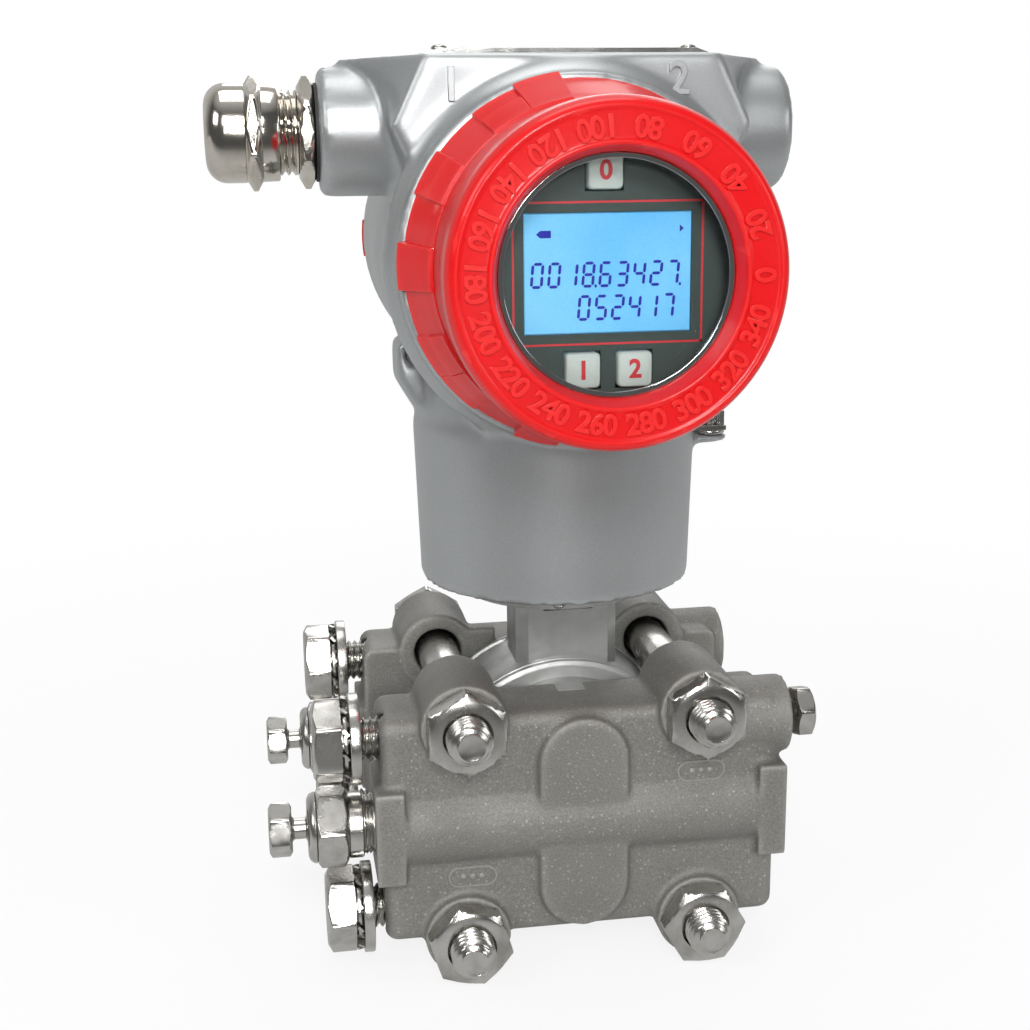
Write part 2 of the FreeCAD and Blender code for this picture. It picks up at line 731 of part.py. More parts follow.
set_screw = start("swivel_set_screw")
rod(set_screw, "set_screw_radius * 0.9 - thread_clearance", "Z", ("0", "set_screw_length"))
hexagon(set_screw, "set_screw_radius", ("set_screw_length - set_screw_proud * 2", "set_screw_length + 1"),
        cut=True)
stand(set_screw, ("-notch_shift", "-collar_radius - set_screw_proud + set_screw_length", set_height),
      TO_FRONT)

# ---- housing casting ------------------------------------------------------------------------

rear_wall = "(bulkhead + front_chamber_depth - drum_front)"
housing = start("housing")
taper(housing, ("housing_neck_bottom", "housing_neck_top"), "Z", ("swivel_seat", "housing_neck_step"))
rod(housing, "housing_neck_upper", "Z", ("housing_neck_step - 1", "drum_height"))
rod(housing, "drum_radius", "Y", ("-drum_front", "drum_rear"), ("0", "drum_height"))
ring_line = ("0", "drum_height")
taper(housing, ("drum_radius", "face_ring_radius"), "Y",
      ("-face_front - face_ring_length", "-face_front"), ring_line)
taper(housing, ("face_ring_radius", "drum_radius"), "Y",
      ("-face_front", "face_ring_back - face_front"), ring_line)
conduits = rod(housing, "conduit_radius", "X", ("-conduit_reach", "conduit_reach"),
               ("0", CONDUIT_AXIS))
rounded(housing, conduits, "conduit_chamfer",
        lambda edge: isinstance(edge.Curve, Part.Circle)
        and near(edge.Curve.Radius, size("conduit_radius"))
        and near(abs(edge.Curve.Center.x), size("conduit_reach")), chamfer=True)
for toward in (1, -1):
    front_face = outline(housing, "XZ_Plane", [
        ("-face_half_top", FACE_TOP),
        ("-face_half_wide", "face_wide_height"),
        ("-face_half_low", "face_low_height"),
        ("face_half_low", "face_low_height"),
        ("face_half_wide", "face_wide_height"),
        ("face_half_top", FACE_TOP),
    ], lift=f"{toward} * face_front")
    middle = outline(housing, "XZ_Plane", [
        ("-web_half_top", FACE_TOP),
        ("-web_half_wide", "face_wide_height"),
        ("-web_half_low", "face_low_height"),
        ("web_half_low", "face_low_height"),
        ("web_half_wide", "face_wide_height"),
        ("web_half_top", FACE_TOP),
    ])
    saddle = housing.newObject("PartDesign::AdditiveLoft", "saddle")
    saddle.Profile = front_face
    saddle.Sections = [middle]
    saddle.Ruled = True
padded(housing, [
    ("-lock_boss_outer", "lock_boss_top"),
    ("-lock_boss_outer", "lock_boss_bottom + lock_boss_slope"),
    ("lock_boss_foot - lock_boss_outer", "lock_boss_bottom"),
    ("-lock_boss_inner", "lock_boss_bottom"),
    ("-lock_boss_inner", "lock_boss_top"),
], ("lock_boss_rear", "lock_boss_front"), "XZ_Plane")
ground_span = ("ground_seat - ground_lug_thickness", "ground_seat")
rod(housing, "ground_lug_radius", "Z", ground_span, ("ground_x", "ground_y"))
block(housing, ("spigot_radius + 4", "ground_x"),
      ("ground_y - ground_lug_radius", "ground_y + ground_lug_radius"), ground_span)

# chambers at both ends with a wall between them, cable ways and the bore for the spigot
rod(housing, "thread_bore_radius", "Y", ("-drum_front - 1", "front_chamber_depth - drum_front"),
    ring_line, cut=True)
rod(housing, "thread_bore_radius", "Y", (rear_wall, "drum_rear + 1"), ring_line, cut=True)
for low, high in (("-conduit_reach - 1", "-thread_bore_radius / 2"),
                  ("thread_bore_radius / 2", "conduit_reach + 1")):
    rod(housing, "conduit_bore_radius", "X", (low, high), ("0", CONDUIT_AXIS), cut=True)
rod(housing, "spigot_radius + swivel_clearance", "Z", ("swivel_seat - 1", "spigot_top + 1"), cut=True)
rod(housing, "wire_hole_radius", "Z", ("spigot_top", "drum_height - thread_bore_radius + 3"), cut=True)
for side, along_y in CORNERS:
    rod(housing, "plate_screw_shank + thread_clearance", "Z",
        (f"{FACE_TOP} - plate_screw_depth - plate_screw_gap", f"{FACE_TOP} + 1"),
        (f"{side} * plate_screw_x", f"{along_y} * plate_screw_y"), cut=True)
rod(housing, "cover_lock_radius + thread_clearance", "Y",
    ("-lock_boss_front - cover_lock_proud * 2", "cover_lock_length - lock_boss_front"),
    ("-cover_lock_x", "cover_lock_z"), cut=True)
rod(housing, "ground_screw_radius + thread_clearance", "Z",
    ("ground_seat - ground_lug_thickness - 1", "ground_seat + 1"), ("ground_x", "ground_y"), cut=True)
stand(housing)

# ---- small fasteners on the casting ---------------------------------------------------------

plate = start("tag_plate")
padded(plate, [
    ("-plate_half_length", "0"),
    ("plate_half_length", "0"),
    ("plate_half_length - plate_end_slope", "plate_thickness"),
    ("plate_end_slope - plate_half_length", "plate_thickness"),
], ("-plate_half_depth", "plate_half_depth"), "XZ_Plane")
for side, along_y in CORNERS:
    rod(plate, "plate_screw_shank + thread_clearance", "Z", ("-1", "plate_thickness + 1"),
        (f"{side} * plate_screw_x", f"{along_y} * plate_screw_y"), cut=True)
stand(plate, ("0", "0", FACE_TOP))

plate_screw = start("tag_screw")
rod(plate_screw, "plate_screw_shank", "Z", ("-plate_thickness - plate_screw_depth", "0"))
rod(plate_screw, "plate_screw_radius", "Z", ("0", "plate_screw_head"))
group("tag_screws", plate_screw, [
    ((f"{side} * plate_screw_x", f"{along_y} * plate_screw_y", f"{FACE_TOP} + plate_thickness"), UPWARD)
    for side, along_y in CORNERS
])

lock_screw = start("cover_lock_screw")
rod(lock_screw, "cover_lock_radius", "Z", ("-cover_lock_length", "cover_lock_proud"))
hexagon(lock_screw, "cover_lock_radius", ("-1", "cover_lock_proud + 1"), cut=True)
stand(lock_screw, ("-cover_lock_x", "-lock_boss_front", "cover_lock_z"), TO_FRONT)

ground_line = ("ground_x", "ground_y")
washer = start("ground_washer")
rod(washer, "ground_washer_radius", "Z", ("0", "ground_washer"))
rod(washer, "ground_screw_radius + washer_clearance", "Z", ("-1", "ground_washer + 1"), cut=True)
stand(washer, ground_line + ("ground_seat",))
clamp = start("ground_clamp")
block(clamp, ("-ground_clamp_half", "ground_clamp_half"), ("-ground_clamp_half", "ground_clamp_half"),
      ("0", "ground_clamp_thickness"))
block(clamp, ("ground_clamp_half - ground_clamp_thickness", "ground_clamp_half"),
      ("-ground_clamp_half / 2", "ground_clamp_half / 2"), ("0", "ground_tab_rise"))
rod(clamp, "ground_screw_radius + washer_clearance", "Z", ("-1", "ground_clamp_thickness + 1"), cut=True)
stand(clamp, ground_line + ("ground_seat + ground_washer",))
ground_screw = start("ground_screw")
rod(ground_screw, "ground_screw_radius", "Z",
    ("-ground_clamp_thickness - ground_washer - ground_lug_thickness", "0"))
rod(ground_screw, "ground_head_radius * 0.7", "Z", ("0", "ground_head"))
block(ground_screw, ("-ground_head_radius", "ground_head_radius"),
      ("-ground_washer / 2", "ground_washer / 2"), ("ground_head * 0.6", "ground_head + 1"), cut=True)
stand(ground_screw, ground_line + ("ground_seat + ground_washer + ground_clamp_thickness",))

# ---- threaded covers with castellated grip rings ------------------------------------------

skirt_radius = "(thread_bore_radius - cover_clearance)"
SKIRT = [
    ("skirt_bore_radius", "-skirt_length"),
    (skirt_radius, "-skirt_length"),
    (skirt_radius, "-ring_groove_near - ring_groove_width"),
    ("ring_groove_radius", "-ring_groove_near - ring_groove_width"),
    ("ring_groove_radius", "-ring_groove_near"),
    (skirt_radius, "-ring_groove_near"),
    (skirt_radius, "0"),
    ("grip_radius", "0"),
]
FULL_LUGS = (37, 97, 172, 247, 322)
STEPPED_LUGS = (112, 142, 202, 217, 292, 352)


def grip_lugs(body, length):
    """Raised castellations round a cover's conical grip ring; the stepped ones start low."""
    root = "(band_radius - 1)"
    crest = "(grip_radius + lug_height)"
    nose = "(grip_front_radius + lug_height - lug_front_drop)"
    full = [(root, "0"), (crest, "0"), (nose, length), (root, length)]
    step = f"({crest} + ({nose} - {crest}) / 2)"
    stepped = [
        (root, "0"),
        ("grip_radius + lug_height - grip_step_drop", "0"),
        (f"{step} - grip_step_drop", f"{length} / 2"),
        (step, f"{length} / 2"),
        (nose, length),
        (root, length),
    ]
    for starts, profile in ((FULL_LUGS, full), (STEPPED_LUGS, stepped)):
        for angle in starts:
            turned(body, profile, swing=angle, sweep=size("grip_pitch"))


front_cover = start("front_cover")
glass_back = "(glass_front - glass_thickness)"
glass_seat_radius = "(glass_radius + glass_clearance)"
turned(front_cover, SKIRT + [
    ("grip_front_radius", "grip_length"),
    ("band_radius", "grip_length"),
    ("band_radius", "rim_start"),
    ("rim_radius", "rim_start + 0.5"),
    ("rim_radius", "front_cover_depth - front_round_length"),
    ("(rim_radius + front_edge_radius) / 2 + 0.4", "front_cover_depth - front_round_length / 4"),
    ("front_edge_radius", "front_cover_depth"),
    ("window_face_radius", "front_cover_depth"),
    ("window_radius", "window_ledge"),
    ("window_radius", "glass_front"),
    (glass_seat_radius, "glass_front"),
    (glass_seat_radius, glass_back),
    ("cover_cavity_radius", glass_back),
    ("cover_cavity_radius", "0"),
    ("skirt_bore_radius", "0"),
])
grip_lugs(front_cover, "grip_length")
front_seat = ("0", "-drum_front", "drum_height")
stand(front_cover, front_seat, TO_FRONT)

glass = start("window_glass")
rod(glass, "glass_radius", "Z", (glass_back, "glass_front"))
stand(glass, front_seat, TO_FRONT)

retainer = start("window_retainer")
rod(retainer, "cover_cavity_radius - thread_clearance", "Z",
    (f"{glass_back} - retainer_thickness", glass_back))
rod(retainer, "retainer_bore_radius", "Z", ("0", "glass_front"), cut=True)
stand(retainer, front_seat, TO_FRONT)

window_ring = start("window_ring")
rod(window_ring, "window_radius - glass_clearance", "Z",
    ("glass_front", "glass_front + window_ring_thickness"))
rod(window_ring, "window_radius - window_ring_width", "Z", ("0", "glass_front + 2"), cut=True)
stand(window_ring, front_seat, TO_FRONT)

rear_cover = start("rear_cover")
turned(rear_cover, SKIRT + [
    ("grip_front_radius", "rear_grip_length"),
    ("grip_front_radius", "rear_cover_depth - rear_edge_bevel"),
    ("grip_front_radius - rear_edge_bevel", "rear_cover_depth"),
    ("0", "rear_cover_depth"),
    ("0", "rear_cover_depth - rear_cover_wall"),
    ("cover_cavity_radius", "rear_cover_depth - rear_cover_wall"),
    ("cover_cavity_radius", "0"),
    ("skirt_bore_radius", "0"),
])
grip_lugs(rear_cover, "rear_grip_length")
rear_seat = ("0", "drum_rear", "drum_height")
stand(rear_cover, rear_seat, TO_REAR)

for name, seat, facing in (("front_cover_seal", front_seat, TO_FRONT),
                           ("rear_cover_seal", rear_seat, TO_REAR)):
    seal = start(name)
    ring = seal.newObject("PartDesign::AdditiveTorus", "ring")
    put(ring, ("0", "0", "-ring_groove_near - ring_groove_width / 2"))
    bind(ring, Radius1="cover_ring_circle", Radius2="cover_ring_radius")
    stand(seal, seat, facing)

# ---- display stack, drawn forward from the swivel axis ------------------------------------

axis_line = ("0", "0", "drum_height")
board_front = "(board_back + board_thickness)"
panel_back = "(panel_front - panel_thickness)"
can = start("electronics_can")
rod(can, "can_radius", "Z", ("drum_front - front_chamber_depth", "can_front"))
POSTS = [(f"{side} * standoff_circle / sqrt(2)", f"{up} * standoff_circle / sqrt(2)")
         for side, up in CORNERS]
for post in POSTS:
    rod(can, "standoff_radius", "Z", ("can_front", "board_back"), post)
stand(can, axis_line, TO_FRONT)

board = start("display_board")
rod(board, "board_radius", "Z", ("board_back", board_front))
stand(board, axis_line, TO_FRONT)

screw = start("board_screw")
rod(screw, "board_screw_radius", "Z", ("0", "board_screw_head"))
hexagon(screw, "board_screw_radius", ("board_screw_head / 2", "board_screw_head + 1"), cut=True)
group("board_screws", screw, [
    ((across_x, f"-{board_front}", f"drum_height + ({up})"), TO_FRONT) for across_x, up in POSTS
])

lcd = start("lcd_module")
block(lcd, ("-lcd_half_width - lcd_border", "lcd_half_width + lcd_border"),
      ("-lcd_half_height - lcd_border", "lcd_half_height + lcd_border"), (board_front, panel_back))
block(lcd, ("-lcd_half_width", "lcd_half_width"), ("-lcd_half_height", "lcd_half_height"),
      (board_front, "panel_front - lcd_recess"))
stand(lcd, axis_line, TO_FRONT)

BUTTONS = {
    "top_button": ("top_button_x", "top_button_z"),
    "left_button": ("-low_button_x", "-low_button_z"),
    "right_button": ("low_button_x", "-low_button_z"),
}
panel = start("display_panel")
rod(panel, "panel_radius", "Z", (board_front, "panel_front"))
rod(panel, "panel_radius - panel_wall", "Z", (f"{board_front} - 1", panel_back), cut=True)
block(panel, ("-lcd_half_width - lcd_clearance", "lcd_half_width + lcd_clearance"),
      ("-lcd_half_height - lcd_clearance", "lcd_half_height + lcd_clearance"),
      (f"{panel_back} - 1", "panel_front + 1"), cut=True)
opening = "(button_half + button_clearance)"
for place_x, place_z in BUTTONS.values():
    block(panel, (f"{place_x} - {opening}", f"{place_x} + {opening}"),
          (f"{place_z} - {opening}", f"{place_z} + {opening}"),
          (f"{panel_back} - 1", "panel_front + 1"), cut=True)
stand(panel, axis_line, TO_FRONT)

for name, (place_x, place_z) in BUTTONS.items():
    button = start(name)
    lip = "(button_half + button_lip)"
    lip_front = f"({panel_back} - button_rest_gap)"
    lip_back = f"({lip_front} - button_lip_thickness)"
    block(button, ("-button_half", "button_half"), ("-button_half", "button_half"),
          (lip_back, "panel_front + button_rise"))
    block(button, (f"-{lip}", lip), (f"-{lip}", lip), (lip_back, lip_front))
    rod(button, "button_stem_radius", "Z",
        (f"{board_front} + button_travel + button_rest_gap", lip_back))
    stand(button, (place_x, "0", f"drum_height + ({place_z})"), TO_FRONT)

# ---- terminal block in the rear chamber ---------------------------------------------------

terminals = start("terminal_block")
block(terminals, ("-terminal_half_width", "terminal_half_width"), (rear_wall, "terminal_rear"),
      ("drum_height - terminal_bottom", "drum_height + terminal_top"))
for wall in range(4):
    line = f"({wall - 1.5} * terminal_pitch)"
    block(terminals, (f"{line} - terminal_wall / 2", f"{line} + terminal_wall / 2"),
          ("terminal_rear - 1", "terminal_rear + terminal_wall_rise"),
          ("drum_height - terminal_bottom", "drum_height + terminal_top"))
stand(terminals)

terminal = start("terminal_screw")
rod(terminal, "terminal_screw_radius", "Z", ("0", "terminal_screw_head"))
block(terminal, ("-terminal_screw_radius", "terminal_screw_radius"), ("-0.5", "0.5"),
      ("terminal_screw_head * 0.6", "terminal_screw_head + 1"), cut=True)
group("terminal_screws", terminal, [
    ((f"{place} * terminal_pitch", "terminal_rear",
      "drum_height + (terminal_top - terminal_bottom) / 2"), TO_REAR)
    for place in (-1, 0, 1)
])

# ---- cable gland on the left, blanking plug on the right ------------------------------------

gland_seat = ("-(conduit_reach + seal_thickness)", "0", CONDUIT_AXIS)
spigot_end = "gland_spigot_end"
gland = start("gland_body")
rod(gland, "gland_thread_radius", "Z", ("-gland_stub_length", "0"))
hexagon(gland, "gland_flats", ("0", "gland_hex_length"), corner=0)
rod(gland, "gland_spigot_radius", "Z", ("gland_hex_length", spigot_end))
rod(gland, "gland_bore_radius", "Z", ("-gland_stub_length - 1", "gland_spigot_end + 1"), cut=True)
stand(gland, gland_seat, TO_LEFT)

gland_seal = start("gland_seal")
rod(gland_seal, "seal_radius", "Z", ("0", "seal_thickness"))
rod(gland_seal, "gland_thread_radius + thread_clearance", "Z", ("-1", "seal_thickness + 1"), cut=True)
stand(gland_seal, ("-conduit_reach", "0", CONDUIT_AXIS), TO_LEFT)

dome = start("gland_nut")
nut_rod = rod(dome, "gland_nut_radius", "Z", ("gland_nut_start", "gland_nut_end"))
rounded(dome, nut_rod, "gland_nut_round",
        circle_at(size("gland_nut_radius"), size("gland_nut_end")))
hexagon(dome, "gland_ring_flats", ("gland_ring_start", "gland_ring_start + gland_ring_length"), corner=8)
rod(dome, "gland_spigot_radius + swivel_clearance", "Z",
    ("0", "gland_nut_end - gland_lip"), cut=True)
rod(dome, "gland_mouth_radius", "Z", ("0", "gland_nut_end + 1"), cut=True)
stand(dome, gland_seat, TO_LEFT)

insert = start("gland_insert")
rod(insert, "gland_spigot_radius - insert_gap", "Z",
    (f"{spigot_end} + insert_gap", "gland_nut_end - gland_lip - insert_gap"))
rod(insert, "cable_radius", "Z", ("0", "gland_nut_end"), cut=True)
stand(insert, gland_seat, TO_LEFT)

plug = start("blanking_plug")
rod(plug, "gland_thread_radius", "Z", ("-gland_stub_length", "-plug_recess"))
rod(plug, "plug_nub_radius", "Z", ("-plug_recess - 1", "plug_nub - plug_recess"))
stand(plug, ("conduit_reach", "0", CONDUIT_AXIS), TO_RIGHT)

# ---- checks and export ------------------------------------------------------------------------

document.recompute()
failed = [item.Name for item in document.Objects
          if "Invalid" in item.State or "Error" in item.State]
if failed:
    raise RuntimeError(f"features that failed: {failed}")
PATTERN_PIECES = {link.LinkedObject.Name for link in document.findObjects("App::Link")}
subparts = [item for item in document.Objects
            if item.TypeId in ("PartDesign::Body", "Part::Compound")
            and item.Name not in PATTERN_PIECES]
os.makedirs("parts", exist_ok=True)
for item in subparts:
    if item.Shape.isNull() or not item.Shape.isValid():
        raise RuntimeError(f"bad shape: {item.Label}")
    item.Shape.exportStep(f"parts/{item.Label}.step")
print(len(subparts), "sub-parts")
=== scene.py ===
"""Differential pressure transmitter: the finish of every piece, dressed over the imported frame.

The file follows the device from the bottom up: flanges and their fasteners, vent valves, sensor
cell, housing casting, gland and plug, threaded covers, display, terminals, then the studio.
"""
import math

import bmesh
import bpy
import numpy as np
from mathutils import Matrix, Vector


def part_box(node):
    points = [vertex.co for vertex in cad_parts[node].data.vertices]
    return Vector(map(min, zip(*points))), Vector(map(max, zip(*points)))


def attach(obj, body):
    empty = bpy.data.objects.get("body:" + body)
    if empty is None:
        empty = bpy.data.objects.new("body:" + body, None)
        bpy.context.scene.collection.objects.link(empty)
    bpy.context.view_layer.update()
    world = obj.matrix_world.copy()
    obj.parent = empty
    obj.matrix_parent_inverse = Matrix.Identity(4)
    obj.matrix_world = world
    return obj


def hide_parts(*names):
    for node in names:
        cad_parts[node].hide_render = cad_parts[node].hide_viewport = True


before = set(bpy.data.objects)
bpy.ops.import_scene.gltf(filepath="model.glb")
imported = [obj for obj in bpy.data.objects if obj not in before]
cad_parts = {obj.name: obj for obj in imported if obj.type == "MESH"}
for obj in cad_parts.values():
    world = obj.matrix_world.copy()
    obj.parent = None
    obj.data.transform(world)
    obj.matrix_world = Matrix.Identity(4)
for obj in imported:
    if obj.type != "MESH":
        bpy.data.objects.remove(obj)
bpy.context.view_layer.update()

# ---- process flanges ----
# Two stainless steel sand castings with a half-round rib over the port line, lugs for the
# studs and a racetrack pad. They are shot-blasted, so their skin is a fine warm grey grain
# with eased edges; its few bright specks are painted glints, for the sparkle of that grain.

MM = 0.001
STEEL_SKIN = (0.250, 0.246, 0.228)
STEEL_SHADE = (0.150, 0.147, 0.134)
# Colour of the painted glint specks, and of the lighter edges.
GLINT_AND_WORN_EDGE = (0.58, 0.57, 0.53)
FLANGE_VOXEL = 0.62
FLANGE_PASSES = 3


def node(tree, kind, inputs=None, **properties):
    """Adds a shader node; inputs gives its sockets values, or sockets to link from."""
    made = tree.nodes.new("ShaderNode" + kind)
    for name, value in properties.items():
        setattr(made, name, value)
    for name, value in (inputs or {}).items():
        if isinstance(value, bpy.types.NodeSocket):
            tree.links.new(value, made.inputs[name])
        else:
            made.inputs[name].default_value = value
    return made


def node_group(name, inputs, outputs):
    """An empty shader node group with named sockets, and its two end nodes."""
    tree = bpy.data.node_groups.new(name, "ShaderNodeTree")
    for label, value in inputs.items():
        kind = "NodeSocketFloat" if isinstance(value, float) else "NodeSocketColor"
        socket = tree.interface.new_socket(label, in_out="INPUT", socket_type=kind)
        socket.default_value = value if isinstance(value, float) else (*value, 1.0)
    for label, kind in outputs.items():
        tree.interface.new_socket(label, in_out="OUTPUT", socket_type="NodeSocket" + kind)
    return tree, tree.nodes.new("NodeGroupInput").outputs, tree.nodes.new("NodeGroupOutput").inputs


def math_node(tree, operation, first, second):
    """The result socket of one sum."""
    return node(tree, "Math", {0: first, 1: second}, operation=operation).outputs[0]


def blend_colours(tree, amount, first, second):
    """The colour socket of a mix from first to second."""
    return node(tree, "Mix", {0: amount, 6: first, 7: second}, data_type="RGBA").outputs[2]


def ramp(tree, value, low, high, out_low=0.0, out_high=1.0):
    """A value stretched from one range to another, and held inside it."""
    return node(tree, "MapRange", {"Value": value, "From Min": low, "From Max": high,
                                   "To Min": out_low, "To Max": out_high}).outputs[0]


def close_group(tree, given, result, patches, colour, height):
    """Links a group's outputs; its roughness wanders with the patches."""
    uneven = math_node(tree, "MULTIPLY", ramp(tree, patches, 0.3, 0.7, -1.0, 1.0), given["Roughness Spread"])
    tree.links.new(colour, result["Colour"])
    tree.links.new(math_node(tree, "ADD", uneven, given["Roughness"]), result["Roughness"])
    tree.links.new(height, result["Height"])


# Blasted or sprayed metal skin: soft mottling, grain and lighter edges, with rare bright specks as painted
# glints.
skin, given, result = node_group(
    "Cast skin",
    {"Colour": STEEL_SKIN, "Shade": STEEL_SHADE, "Speck Colour": GLINT_AND_WORN_EDGE, "Grain": 1800.0,
     "Mottle": 90.0, "Mottle Amount": 0.5, "Grain Amount": 0.25, "Specks": 0.5, "Edge Light": 0.4,
     "Roughness": 0.5, "Roughness Spread": 0.15},
    {"Colour": "Color", "Roughness": "Float", "Height": "Float"})
place = node(skin, "TexCoord").outputs["Object"]
patches = node(skin, "TexNoise", {"Vector": place, "Scale": given["Mottle"], "Detail": 3.0}).outputs[0]
grain = node(skin, "TexNoise", {"Vector": place, "Scale": given["Grain"], "Detail": 4.0,
                                "Roughness": 0.7}).outputs[0]
glint_cells = node(skin, "TexVoronoi", {"Vector": place, "Scale": math_node(skin, "MULTIPLY", given["Grain"], 0.45)})
edges = ramp(skin, node(skin, "NewGeometry").outputs["Pointiness"], 0.5, 0.56)
cloudy = math_node(skin, "MULTIPLY", ramp(skin, patches, 0.32, 0.72), given["Mottle Amount"])
grainy = math_node(skin, "MULTIPLY", ramp(skin, grain, 0.38, 0.62), given["Grain Amount"])
base = blend_colours(skin, math_node(skin, "ADD", cloudy, grainy), given["Colour"], given["Shade"])
worn = math_node(skin, "MULTIPLY", edges, given["Edge Light"])
base = blend_colours(skin, worn, base, given["Speck Colour"])
# Painted glints: rare bright specks mixed into the colour, standing for light sparkling on the grain.
glint_speck = math_node(skin, "MULTIPLY", ramp(skin, glint_cells.outputs["Distance"], 0.34, 0.16), given["Specks"])
rare_glint = ramp(skin, glint_cells.outputs["Color"], 0.66, 0.95)
base = blend_colours(skin, math_node(skin, "MULTIPLY", glint_speck, rare_glint), base, given["Speck Colour"])
close_group(skin, given, result, patches, base, grain)


def finish(name, group=None, bump=0.0, depth=0.1, values=None, **sockets):
    """A material: a Principled surface with plain sockets, and colour, roughness and bump from a group."""
    material = bpy.data.materials.new(name)
    material.use_nodes = True
    tree = material.node_tree
    surface = tree.nodes["Principled BSDF"]
    for label, value in sockets.items():
        surface.inputs[label.replace("_", " ")].default_value = value
    if group:
        placed = node(tree, "Group", node_tree=group)
        for label, value in (values or {}).items():
            placed.inputs[label].default_value = value if isinstance(value, float) else (*value, 1.0)
        tree.links.new(placed.outputs["Colour"], surface.inputs["Base Color"])
        tree.links.new(placed.outputs["Roughness"], surface.inputs["Roughness"])
        relief = node(tree, "Bump", {"Strength": bump, "Distance": depth * MM,
                                     "Height": placed.outputs["Height"]})
        tree.links.new(relief.outputs[0], surface.inputs["Normal"])
    return material


def piece_of(name, mesh, material, body, slot, *replaced):
    """Puts a mesh in the scene as a piece that rides on a body and may stand for CAD nodes."""
    mesh.materials.clear()
    mesh.materials.append(material)
    piece = bpy.data.objects.new(name, mesh)
    bpy.context.scene.collection.objects.link(piece)
    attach(piece, body)
    if replaced:
        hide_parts(*replaced)
    return piece


def as_cast(source, name, voxel, passes, hold=None):
    """The mesh of a CAD node remeshed evenly, with its edges eased as a mould leaves them.
    hold(points) gives each vertex how freely it moves, from 0 on machined faces to 1."""
    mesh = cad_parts[source].data.copy()
    shape = bmesh.new()
    shape.from_mesh(mesh)
    bmesh.ops.remove_doubles(shape, verts=shape.verts, dist=0.002 * MM)
    shape.to_mesh(mesh)
    shape.free()
    scratch = bpy.data.objects.new("scratch", mesh)
    bpy.context.scene.collection.objects.link(scratch)
    remesh = scratch.modifiers.new("even", "REMESH")
    remesh.mode = "VOXEL"
    remesh.voxel_size = voxel * MM
    bpy.context.view_layer.update()
    even = bpy.data.meshes.new_from_object(scratch.evaluated_get(bpy.context.evaluated_depsgraph_get()))
    even.name = name
    bpy.data.objects.remove(scratch)
    count = len(even.vertices)
    points = np.empty(count * 3)
    even.vertices.foreach_get("co", points)
    points = points.reshape(-1, 3)
    pairs = np.empty(len(even.edges) * 2, np.int64)
    even.edges.foreach_get("vertices", pairs)
    one, other = pairs.reshape(-1, 2).T
    share = np.bincount(one, minlength=count) + np.bincount(other, minlength=count)
    freedom = np.ones((count, 1)) if hold is None else hold(points / MM)[:, None]
    for _ in range(passes):
        mean = np.empty_like(points)
        for axis in range(3):
            total = np.bincount(one, points[other, axis], count)
            total += np.bincount(other, points[one, axis], count)
            mean[:, axis] = total / share
        points += 0.5 * freedom * (mean - points)
    even.vertices.foreach_set("co", points.ravel())
    even.shade_smooth()
    even.update()
    return even


sand_cast = finish("sand-cast stainless steel", skin, bump=0.8, depth=0.22,
                   values={"Colour": STEEL_SKIN, "Shade": STEEL_SHADE, "Speck Colour": GLINT_AND_WORN_EDGE,
                           "Grain": 2300.0, "Mottle": 60.0, "Mottle Amount": 0.25,
                           "Grain Amount": 0.75, "Specks": 0.6, "Edge Light": 0.3,
                           "Roughness": 0.5, "Roughness Spread": 0.08},
                   Metallic=0.45)
for side in ("front", "rear"):
    flange = as_cast(f"{side}_flange", f"{side}_flange_casting", FLANGE_VOXEL, FLANGE_PASSES)
    piece_of(f"{side}_flange_casting", flange, sand_cast, "base", "cast_steel", f"{side}_flange")

# ---- studs, nuts and mounting bolts ----
# Cold-headed, rolled-thread fasteners in bright stainless steel. Four studs with a nut at each
# end squeeze the flanges together; four mounting bolts travel loose in the left end, each with
# a toothed lock washer and a plain washer.

STUD_RADIUS = 5.0
STUD_PITCH = 1.5
STUD_POINT = 2.4
POINT_SLOPE = 0.7
NUT_FLATS = 17.0
NUT_TURNS = ((47.0, 30.0), (0.0, 30.0))
WASHER_THICKNESS = 2.4
WASHER_RADIUS = 10.3
TOOTH_STACK = 1.8
BOLT_HEAD = 6.4
BOLT_TWISTS = {(-1, -1): -29.0, (-1, 1): 5.0, (1, -1): -5.0, (1, 1): 29.0}
BRIGHT = (0.58, 0.57, 0.54)
BRIGHT_TINT = (0.36, 0.35, 0.325)

# The way each turned piece points: its own Z along the named direction.
FACING = {
    "up": Matrix.Identity(4),
    "front": Matrix.Rotation(math.radians(90), 4, "X"),
    "rear": Matrix.Rotation(math.radians(-90), 4, "X"),
    "left": Matrix.Rotation(math.radians(-90), 4, "Y"),
    "right": Matrix.Rotation(math.radians(90), 4, "Y"),
}
# One sixth of a turn, closer together at the corner of a hexagon.
SECTOR = (0.0, 0.8, 1.7, 4.0, 9.0, 15.0, 22.0, 30.0, 38.0, 45.0, 51.0, 56.0, 58.3, 59.2)
HEX_COLUMNS = [60.0 * sixth + step for sixth in range(6) for step in SECTOR]


def box_mm(name):
    """Lowest and highest corners of a CAD node, in millimetres."""
    return [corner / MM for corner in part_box(name)]


def seated(place, facing, spin=0.0):
    """The placement of a piece drawn about its own Z, from a point in millimetres."""
    turn = FACING[facing] @ Matrix.Rotation(math.radians(spin), 4, "Z")
    return Matrix.Translation(Vector(place) * MM) @ turn


